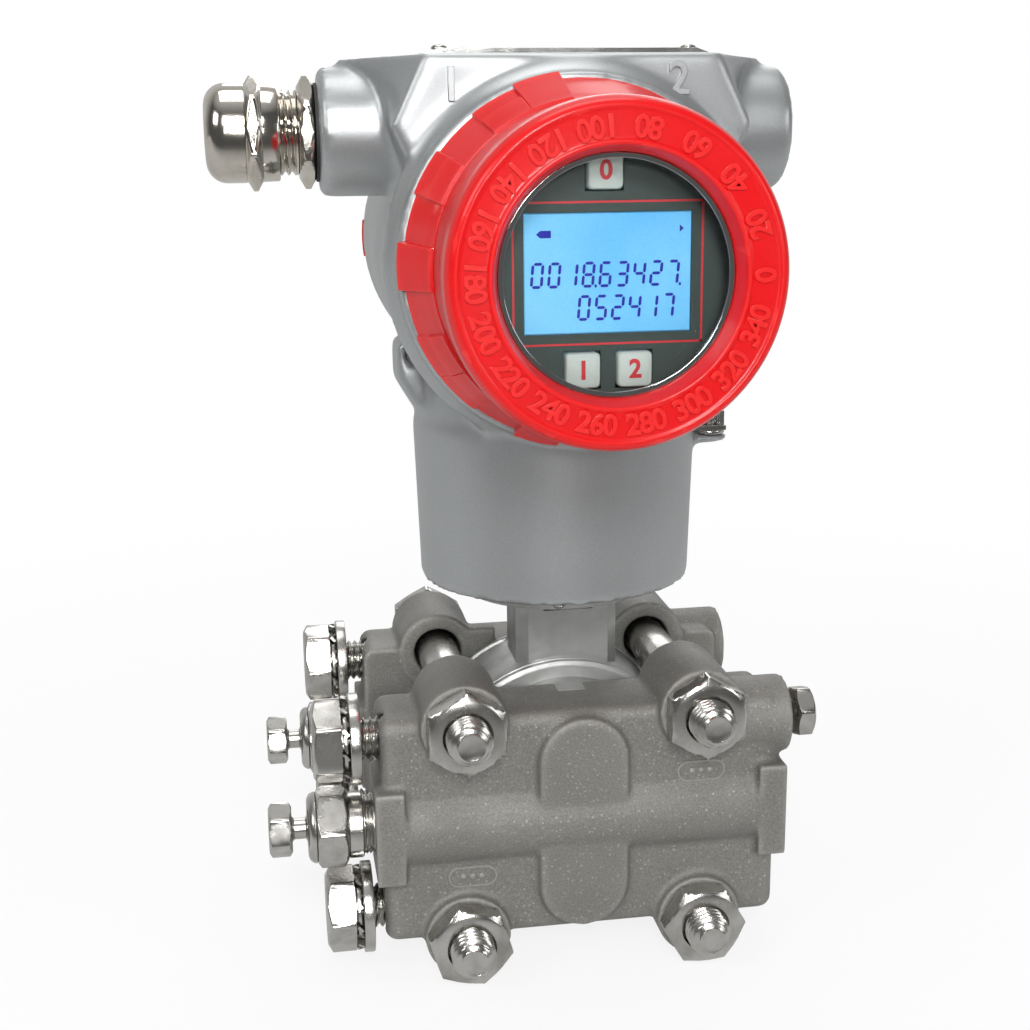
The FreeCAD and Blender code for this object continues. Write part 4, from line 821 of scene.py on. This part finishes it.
COVER_RED = (0.60, 0.002, 0.004)
COVER_SHADE = (0.48, 0.001, 0.002)
GRIP_PITCH = 15.0
LUG_HEIGHT = 1.5
FULL_LUGS = (37, 97, 172, 247, 322)
STEPPED_LUGS = (112, 142, 202, 217, 292, 352)
LUG_TAPER = 0.9
STEP_DROP = 0.9
COVER_PITCH = 2.0
THREAD_RADIUS = 33.92
SKIRT_LENGTH = 11.0
SKIRT_BORE = 30.5
SEAL_GROOVE = 32.1
GRIP_BACK = 37.4
GRIP_FRONT = 33.0
FRONT_GRIP_LENGTH = 12.0
REAR_GRIP_LENGTH = 12.5
CAVITY_RADIUS = 29.0
GLASS_LEDGE = 32.0
GLASS_BORE = 26.6
WINDOW_RADIUS = 23.0
FACE_SINK = 0.35
REAR_DEPTH = 15.5
REAR_WALL = 4.0
REAR_CENTRE = 0.5
red_paint = finish("glossy red coat", skin, bump=0.22, depth=0.06,
                   values={"Colour": COVER_RED, "Shade": COVER_SHADE, "Speck Colour": (0.85, 0.06, 0.05),
                           "Grain": 1100.0, "Mottle": 60.0, "Mottle Amount": 0.2, "Grain Amount": 0.25,
                           "Specks": 0.0, "Edge Light": 0.3, "Roughness": 0.34, "Roughness Spread": 0.04},
                   Coat_Weight=0.25, Coat_Roughness=0.1, Specular_IOR_Level=0.25)


def lugs(angle, starts):
    """How far a castellation stands up at an angle, from 0 to 1, with eased flanks."""
    degrees = np.degrees(angle) % 360.0
    rise = np.zeros_like(degrees)
    for start in starts:
        along = (degrees - start + 180.0) % 360.0 - 180.0
        rise = np.maximum(rise, np.clip(np.minimum(along, GRIP_PITCH - along) / 0.7 + 0.5, 0, 1))
    return rise * rise * (3 - 2 * rise)


def grip_wave(length, screw):
    """Castellations over the grip ring, and the thread on the skirt."""
    def wave(angle, radius, height):
        if height < -0.01:
            return screw(angle, radius, height)
        if radius < GRIP_FRONT - 0.1 or height > length + 0.01:
            return 0.0
        share = height / length
        full = lugs(angle, FULL_LUGS) * (LUG_HEIGHT - LUG_TAPER * share)
        drop = STEP_DROP if share < 0.5 else 0.0
        stepped = lugs(angle, STEPPED_LUGS) * (LUG_HEIGHT - LUG_TAPER * share - drop)
        return np.maximum(full, stepped)
    return wave


# Columns gather at the flanks of the castellations.
FLANK = (-0.9, -0.55, -0.3, -0.1, 0.1, 0.3, 0.55, 0.9)
COVER_COLUMNS = sorted({round((FULL_LUGS[0] + GRIP_PITCH * slot + step) % 360.0, 3)
                        for slot in range(24) for step in FLANK + tuple(range(2, 14, 2))})


def cover_rows(length, front):
    """The skirt, thread, seal groove and grip ring shared by both covers, then its own front."""
    screw_rows, screw = thread(THREAD_RADIUS, -10.6, -2.7, COVER_PITCH)
    skirt = [(SKIRT_BORE, -SKIRT_LENGTH), (33.3, -SKIRT_LENGTH)] + screw_rows
    skirt += eased([(THREAD_RADIUS, -2.4), (SEAL_GROOVE, -2.4), (SEAL_GROOVE, -0.4),
                    (THREAD_RADIUS, -0.4), (THREAD_RADIUS, 0.0)], 0.2)
    grip = [(37.0, 0.0), (37.25, 0.1), (GRIP_BACK, 0.35)]
    slope = (GRIP_BACK - GRIP_FRONT) / length
    heights = [length * share for share in (0.15, 0.3, 0.46, 0.495, 0.505, 0.54, 0.7, 0.85)]
    grip += [(GRIP_BACK - slope * height, height) for height in heights]
    grip += [(33.05, length - 0.35), (GRIP_FRONT, length - 0.12), (32.95, length)]
    return skirt + grip + front, grip_wave(length, screw)


at_front = seated((drum_x, drum_front_y, drum_z), "front")
depth = drum_front_y - box_mm("front_cover")[0].y
front = eased([(32.7, 12.05), (32.55, 20.0), (32.7, 27.6), (33.3, 28.2), (33.35, 31.5),
               (33.2, depth - 2.6),
               (32.4, depth - 0.7), (31.6, depth - 0.1), (31.1, depth), (30.6, depth - FACE_SINK),
               (25.4, depth - FACE_SINK), (24.9, depth), (24.3, depth - 0.1), (WINDOW_RADIUS, 33.0),
               (WINDOW_RADIUS, GLASS_LEDGE)], 0.5)
front += [(GLASS_BORE, GLASS_LEDGE), (GLASS_BORE, 27.5), (CAVITY_RADIUS, 27.5), (CAVITY_RADIUS, 0.0),
          (SKIRT_BORE, 0.0)]
rows, wave = cover_rows(FRONT_GRIP_LENGTH, front)
turned_piece("front_cover_cap", rows, at_front, (red_paint, "front_cover", "cover_red", "front_cover"),
             30, columns=COVER_COLUMNS, closed=True, wave=wave)

at_rear = seated((drum_x, drum_rear_y, drum_z), "rear")
front = eased([(32.9, 12.6), (32.9, REAR_DEPTH - 1.2), (31.7, REAR_DEPTH), (24.0, REAR_DEPTH),
               (23.0, REAR_DEPTH - 0.8), (REAR_CENTRE, REAR_DEPTH - 0.8)], 0.4)
front += [(REAR_CENTRE, REAR_DEPTH - REAR_WALL), (CAVITY_RADIUS, REAR_DEPTH - REAR_WALL),
          (CAVITY_RADIUS, 0.0), (SKIRT_BORE, 0.0)]
rows, wave = cover_rows(REAR_GRIP_LENGTH, front)
turned_piece("rear_cover_cap", rows, at_rear, (red_paint, "rear_cover", "cover_red", "rear_cover"),
             30, columns=COVER_COLUMNS, closed=True, wave=wave)

LABEL_STEP = 20
GLYPH_ADVANCE = 5.35
NUMERAL_CIRCLE = 27.9
NUMERAL_HEIGHT = 3.9
glyphs = {digit: numeral(digit, NUMERAL_HEIGHT, 0.34, 0.14, 0.08) for digit in "0123456789"}
ring_marks = []
for label in range(0, 360, LABEL_STEP):
    text = str(label)
    for index, digit in enumerate(text):
        bearing = label + (index - (len(text) - 1) / 2) * GLYPH_ADVANCE
        spin = at_front @ Matrix.Rotation(math.radians(90 + bearing), 4, "Z")
        place = spin @ Matrix.Translation((0, -NUMERAL_CIRCLE * MM, (depth - FACE_SINK) * MM))
        ring_marks.append(moved(glyphs[digit], place))
piece_of("cover_numerals", joined("numerals", ring_marks, 50), red_paint, "front_cover", "cover_red")

# ---- window and its trim ----
# A thick toughened disc pressed from behind against its ledge, with a bright ring in front.

chrome = finish("bright trim", bar, bump=0.05, depth=0.02,
                values={"Colour": (0.72, 0.73, 0.72), "Tint": (0.6, 0.61, 0.6), "Roughness": 0.09,
                        "Roughness Spread": 0.03}, Metallic=1.0)
dress(chrome, ["window_ring"], edge=0.15)
dress(cell_steel, ["window_retainer"], edge=0.2)
glass = bpy.data.materials.new("clear window")
glass.use_nodes = True
tree = glass.node_tree
tree.nodes.remove(tree.nodes["Principled BSDF"])
clear = node(tree, "BsdfTransparent", {"Color": (0.97, 0.985, 0.975, 1.0)}).outputs[0]
shine = node(tree, "BsdfGlossy", {"Color": (1.0, 1.0, 1.0, 1.0), "Roughness": 0.03}).outputs[0]
mirror = math_node(tree, "MULTIPLY", node(tree, "Fresnel", {"IOR": 1.3}).outputs[0], 0.55)
tree.links.new(node(tree, "MixShader", {0: mirror, 1: clear, 2: shine}).outputs[0],
               tree.nodes["Material Output"].inputs[0])
dress(glass, ["window_glass"], edge=0.3)

# ---- display ----
# Behind the window: a dark membrane panel with a thin red frame, a liquid crystal display that glows
# as painted light, showing plain digits, and three soft keys marked with numerals.

PANEL_GREEN = (0.040, 0.058, 0.054)
LCD_BLUE = (0.075, 0.33, 0.66)
LCD_PALE = (0.20, 0.50, 0.76)
INK = (0.012, 0.016, 0.42)
LEGEND_RED = (0.62, 0.03, 0.04)
panel_skin = finish("membrane panel", skin, bump=0.2, depth=0.04,
                    values={"Colour": PANEL_GREEN, "Shade": (0.03, 0.042, 0.04), "Mottle": 120.0,
                            "Speck Colour": (0.1, 0.12, 0.12), "Specks": 0.2, "Edge Light": 0.1,
                            "Roughness": 0.42, "Roughness Spread": 0.05})
dress(panel_skin, ["display_panel"], edge=0.12)
legend = finish("red ink", skin, bump=0.1, depth=0.02,
                values={"Colour": LEGEND_RED, "Shade": (0.5, 0.02, 0.03), "Speck Colour": (0.8, 0.2, 0.2),
                        "Specks": 0.0, "Edge Light": 0.0, "Roughness": 0.4, "Roughness Spread": 0.03})
lcd_painted_glow = finish("liquid crystal with painted glow", skin, bump=0.0, depth=0.01,
                  values={"Colour": LCD_BLUE, "Shade": LCD_PALE, "Mottle": 28.0, "Mottle Amount": 0.8,
                          "Grain": 4000.0, "Specks": 0.0, "Edge Light": 0.0, "Roughness": 0.2,
                          "Roughness Spread": 0.02})
# The display's own colour, pale mottling and all, also feeds its emission: a painted glow that stands in for
# light falling on it.
surface = lcd_painted_glow.node_tree.nodes["Principled BSDF"]
painted_glow = surface.inputs["Base Color"].links[0].from_socket
lcd_painted_glow.node_tree.links.new(painted_glow, surface.inputs["Emission Color"])
surface.inputs["Emission Strength"].default_value = 0.38
dress(lcd_painted_glow, ["lcd_module"], edge=0.1)

panel_y = box_mm("display_panel")[0].y
lcd_y = box_mm("lcd_module")[0].y


def plates(corners_of_each, lift, y):
    """Thin plates with the given outlines, raised towards the front from a plane."""
    shapes = []
    for corners in corners_of_each:
        count = len(corners)
        points = [(u, v, depth) for depth in (-0.02, lift) for u, v in corners]
        faces = [tuple(range(count))[::-1], tuple(range(count, 2 * count))]
        faces += [(k, (k + 1) % count, (k + 1) % count + count, k + count) for k in range(count)]
        shapes.append(moved((points, faces), seated((drum_x, y, drum_z), "front")))
    return shapes


FRAME_HALF = (18.9, 13.8)
FRAME_WIDTH = 0.42
frame_bars = []
for sign in (-1, 1):
    for (half, other), swap in ((FRAME_HALF, False), (FRAME_HALF[::-1], True)):
        inner = other - FRAME_WIDTH
        bar_outline = [(-half, sign * other), (half, sign * other), (half, sign * inner),
                       (-half, sign * inner)]
        frame_bars.append([(v, u) if swap else (u, v) for u, v in bar_outline])
piece_of("panel_red_frame", joined("frame", plates(frame_bars, 0.06, panel_y)), legend, "housing", "panel")

# Seven strokes of a digit, each between two points of a half-unit grid, and the strokes lit.
STROKES = ((0, 2, 1, 2), (1, 1, 1, 2), (1, 0, 1, 1), (0, 0, 1, 0), (0, 0, 0, 1), (0, 1, 0, 2), (0, 1, 1, 1))
LIT = {"0": "012345", "1": "12", "2": "01346", "3": "01236", "4": "1256", "5": "02356", "6": "023456",
       "7": "012", "8": "0123456"}
DIGIT_WIDTH = 1.95
DIGIT_HEIGHT = 4.4
STROKE = 0.56
SLANT = 0.09
DIGIT_PITCH = 3.36


def digits(text, left, low, pitch):
    """The outlines of the lit strokes and points of a row of leaning digits."""
    outlines, column = [], 0
    for character in text:
        x = left + pitch * column
        if character == ".":
            dot = [(x - pitch + DIGIT_WIDTH + 0.42 + a * 0.45, low + b * STROKE - STROKE / 2)
                   for a, b in ((0, 0), (1, 0), (1, 1), (0, 1))]
            outlines.append(dot)
            continue
        for stroke in LIT[character]:
            u0, v0, u1, v1 = STROKES[int(stroke)]
            start = Vector((u0 * DIGIT_WIDTH, v0 * DIGIT_HEIGHT / 2))
            end = Vector((u1 * DIGIT_WIDTH, v1 * DIGIT_HEIGHT / 2))
            way = (end - start).normalized()
            side = Vector((-way.y, way.x)) * STROKE / 2
            inset = way * 0.12
            near, far = start + inset, end - inset
            tip = way * STROKE / 2
            hexagon = [near, near + tip + side, far - tip + side, far, far - tip - side, near + tip - side]
            outlines.append([(x + p.x + SLANT * p.y, low + p.y) for p in hexagon])
        column += 1
    return outlines


lcd_ink = finish("dark blue segments", skin, bump=0.0, depth=0.01,
                 values={"Colour": INK, "Shade": (0.02, 0.02, 0.3), "Specks": 0.0, "Edge Light": 0.0,
                         "Roughness": 0.3, "Roughness Spread": 0.02})
strokes = digits("0018.63427.", -15.1, -2.4, DIGIT_PITCH)
strokes += digits("052417", -5.9, -8.8, DIGIT_PITCH)
strokes.append([(-14.1, 7.6), (-13.3, 6.9), (-11.2, 6.9), (-11.2, 8.3), (-13.3, 8.3)])
strokes.append([(14.2, 7.6), (15.0, 8.3), (14.2, 9.0)])
piece_of("lcd_segments", joined("segments", plates(strokes, 0.04, lcd_y)), lcd_ink, "housing", "lcd")

key_skin = finish("soft grey key", skin, bump=0.25, depth=0.05,
                  values={"Colour": (0.52, 0.55, 0.52), "Shade": (0.46, 0.49, 0.47), "Mottle": 150.0,
                          "Speck Colour": (0.7, 0.72, 0.7), "Specks": 0.15, "Edge Light": 0.2,
                          "Roughness": 0.5, "Roughness Spread": 0.05}, Subsurface_Weight=0.05)
KEY_CORNER = 1.0
KEY_HALF = 3.5
CORNER_STEPS = np.array((0, 18, 36, 54, 72, 90))
for key, digit in (("top_button", "0"), ("left_button", "1"), ("right_button", "2")):
    low, high = box_mm(key)
    x, z = (low.x + high.x) / 2, (low.z + high.z) / 2
    length = high.y - low.y
    profile = ((3.3, 0.0), (KEY_HALF, 0.25), (KEY_HALF, length - 0.75), (3.42, length - 0.4),
               (3.2, length - 0.12), (2.7, length))
    rounded = []
    for half, height in profile:
        square = half - KEY_CORNER
        for corner, (right, up) in enumerate(((1, 1), (-1, 1), (-1, -1), (1, -1))):
            for t in np.radians(90 * corner + CORNER_STEPS):
                rounded.append((right * square + KEY_CORNER * math.cos(t),
                                up * square + KEY_CORNER * math.sin(t), height))
    ring = 4 * len(CORNER_STEPS)
    last = (len(profile) - 1) * ring
    faces = [(low_row + c, low_row + (c + 1) % ring, low_row + ring + (c + 1) % ring, low_row + ring + c)
             for low_row in range(0, last, ring) for c in range(ring)]
    faces += [tuple(range(ring))[::-1], tuple(range(last, last + ring))]
    cap = moved((np.array(rounded), faces), seated((x, high.y, z), "front"))
    piece_of(f"{key}_key", joined("key", [cap]), key_skin, key, "button", key)
    digit_shape = moved(numeral(digit, 3.5, 0.04, 0.0, 0.16), seated((x, low.y, z), "front"))
    piece_of(f"{key}_digit", joined("digit", [digit_shape]), legend, key, "button")

laminate = finish("green laminate", skin, bump=0.1, depth=0.02,
                  values={"Colour": (0.01, 0.09, 0.03), "Shade": (0.008, 0.06, 0.02), "Mottle": 300.0,
                          "Speck Colour": (0.4, 0.35, 0.1), "Specks": 0.5, "Roughness": 0.35})
black_moulding = finish("black moulding", skin, bump=0.25, depth=0.05,
                        values={"Colour": (0.022, 0.022, 0.024), "Shade": (0.014, 0.014, 0.015),
                                "Speck Colour": (0.08, 0.08, 0.08), "Specks": 0.2, "Edge Light": 0.3,
                                "Roughness": 0.5, "Roughness Spread": 0.06})
dress(laminate, ["display_board"], edge=0.1)
dress(bright_steel, ["board_screws", "terminal_screws"], edge=0.12)
dress(black_moulding, ["electronics_can", "terminal_block"], edge=0.4)

# ---- studio ----
# A pale floor, six soft lamps and a surround that is white behind the device and dim before it.

CAMERA_PLACE = Vector((-55.25, -357.95, 186.3)) * MM
CAMERA_YAW, CAMERA_PITCH, CAMERA_ROLL = 9.18, 13.88, -0.65
CAMERA_LENS = 53.34
camera = bpy.data.objects.new("camera", bpy.data.cameras.new("camera"))
camera.data.lens = CAMERA_LENS
camera.data.sensor_width = 36.0
camera.data.clip_start = 0.01
turn = (Matrix.Rotation(math.radians(-CAMERA_YAW), 4, "Z")
        @ Matrix.Rotation(math.radians(90 - CAMERA_PITCH), 4, "X")
        @ Matrix.Rotation(math.radians(CAMERA_ROLL), 4, "Z"))
camera.matrix_world = Matrix.Translation(CAMERA_PLACE) @ turn
scene = bpy.context.scene
scene.collection.objects.link(camera)
scene.camera = camera
scene.view_settings.view_transform = "Standard"


def seen_as(tree, lit, shown, share=1.0):
    """Mixes what lights the object with what the camera, metal and glass see of a surface."""
    path = node(tree, "LightPath").outputs
    seen = math_node(tree, "MAXIMUM", path["Is Camera Ray"], path["Is Glossy Ray"])
    seen = math_node(tree, "MAXIMUM", seen, path["Is Transmission Ray"])
    seen = math_node(tree, "MULTIPLY", seen, share)
    return node(tree, "MixShader", {0: seen, 1: lit, 2: shown}).outputs[0]


# The surround is white behind and over the device, and metal also sees the dim room in front.
ROOM = 0.10
BACKDROP = 0.6
world = bpy.data.worlds.new("surround")
scene.world = world
world.use_nodes = True
tree = world.node_tree
along = node(tree, "SeparateXYZ", {0: node(tree, "TexCoord").outputs["Generated"]}).outputs
open_side = ramp(tree, along["Y"], 0.05, 0.7)
raised = ramp(tree, along["Z"], 0.7, 0.98)
brightness = ramp(tree, math_node(tree, "MAXIMUM", open_side, raised), 0.0, 1.0, ROOM, BACKDROP)
by_camera = node(tree, "LightPath").outputs["Is Camera Ray"]
brightness = math_node(tree, "MAXIMUM", brightness, by_camera)
lit = node(tree, "Background", {"Color": (1.0, 1.0, 1.0, 1.0), "Strength": 0.26}).outputs[0]
shown = node(tree, "Background", {"Color": (1.0, 1.0, 1.0, 1.0), "Strength": brightness}).outputs[0]
tree.links.new(seen_as(tree, lit, shown), tree.nodes["World Output"].inputs[0])

floor_mesh = bpy.data.meshes.new("floor")
reach = 4.0
floor_mesh.from_pydata([(-reach, -reach, 0), (reach, -reach, 0), (reach, reach, 0), (-reach, reach, 0)],
                       [], [(0, 1, 2, 3)])
floor = bpy.data.objects.new("floor", floor_mesh)
scene.collection.objects.link(floor)
white = bpy.data.materials.new("white sweep")
white.use_nodes = True
tree = white.node_tree
tree.nodes.remove(tree.nodes["Principled BSDF"])
ground = node(tree, "TexCoord").outputs["Object"]
away = node(tree, "VectorMath", {0: ground}, operation="LENGTH").outputs["Value"]
sweep = ramp(tree, node(tree, "SeparateXYZ", {0: ground}).outputs["Y"], -0.30, -0.08, ROOM, BACKDROP)
sweep = math_node(tree, "MAXIMUM", sweep, node(tree, "LightPath").outputs["Is Camera Ray"])
lit = node(tree, "BsdfDiffuse", {"Color": (0.8, 0.8, 0.8, 1.0)}).outputs[0]
shown = node(tree, "Emission", {"Color": (1.0, 1.0, 1.0, 1.0), "Strength": sweep}).outputs[0]
share = ramp(tree, away, 0.12, 0.42, 0.85, 1.0)
tree.links.new(seen_as(tree, lit, shown, share), tree.nodes["Material Output"].inputs[0])
floor_mesh.materials.append(white)

LAMPS = {
    "over the camera": ((-0.10, -0.90, 0.66), 0.26, 5.5),
    "beside the camera": ((-0.06, -0.85, 0.30), 0.12, 2.0),
    "key": ((-0.80, -0.55, 0.70), 0.40, 3.0),
    "fill": ((0.80, -0.65, 0.35), 0.35, 1.4),
    "top": ((0.0, 0.1, 1.1), 0.6, 3.5),
    "back": ((0.2, 0.9, 0.6), 0.6, 2.5),
}
target = Vector((0.0, 0.0, 0.1))
for name, (place, width, power) in LAMPS.items():
    lamp = bpy.data.lights.new(name, "AREA")
    lamp.size = width
    lamp.energy = power
    holder = bpy.data.objects.new(name, lamp)
    holder.location = place
    holder.rotation_euler = (target - Vector(place)).to_track_quat("-Z", "Y").to_euler()
    scene.collection.objects.link(holder)
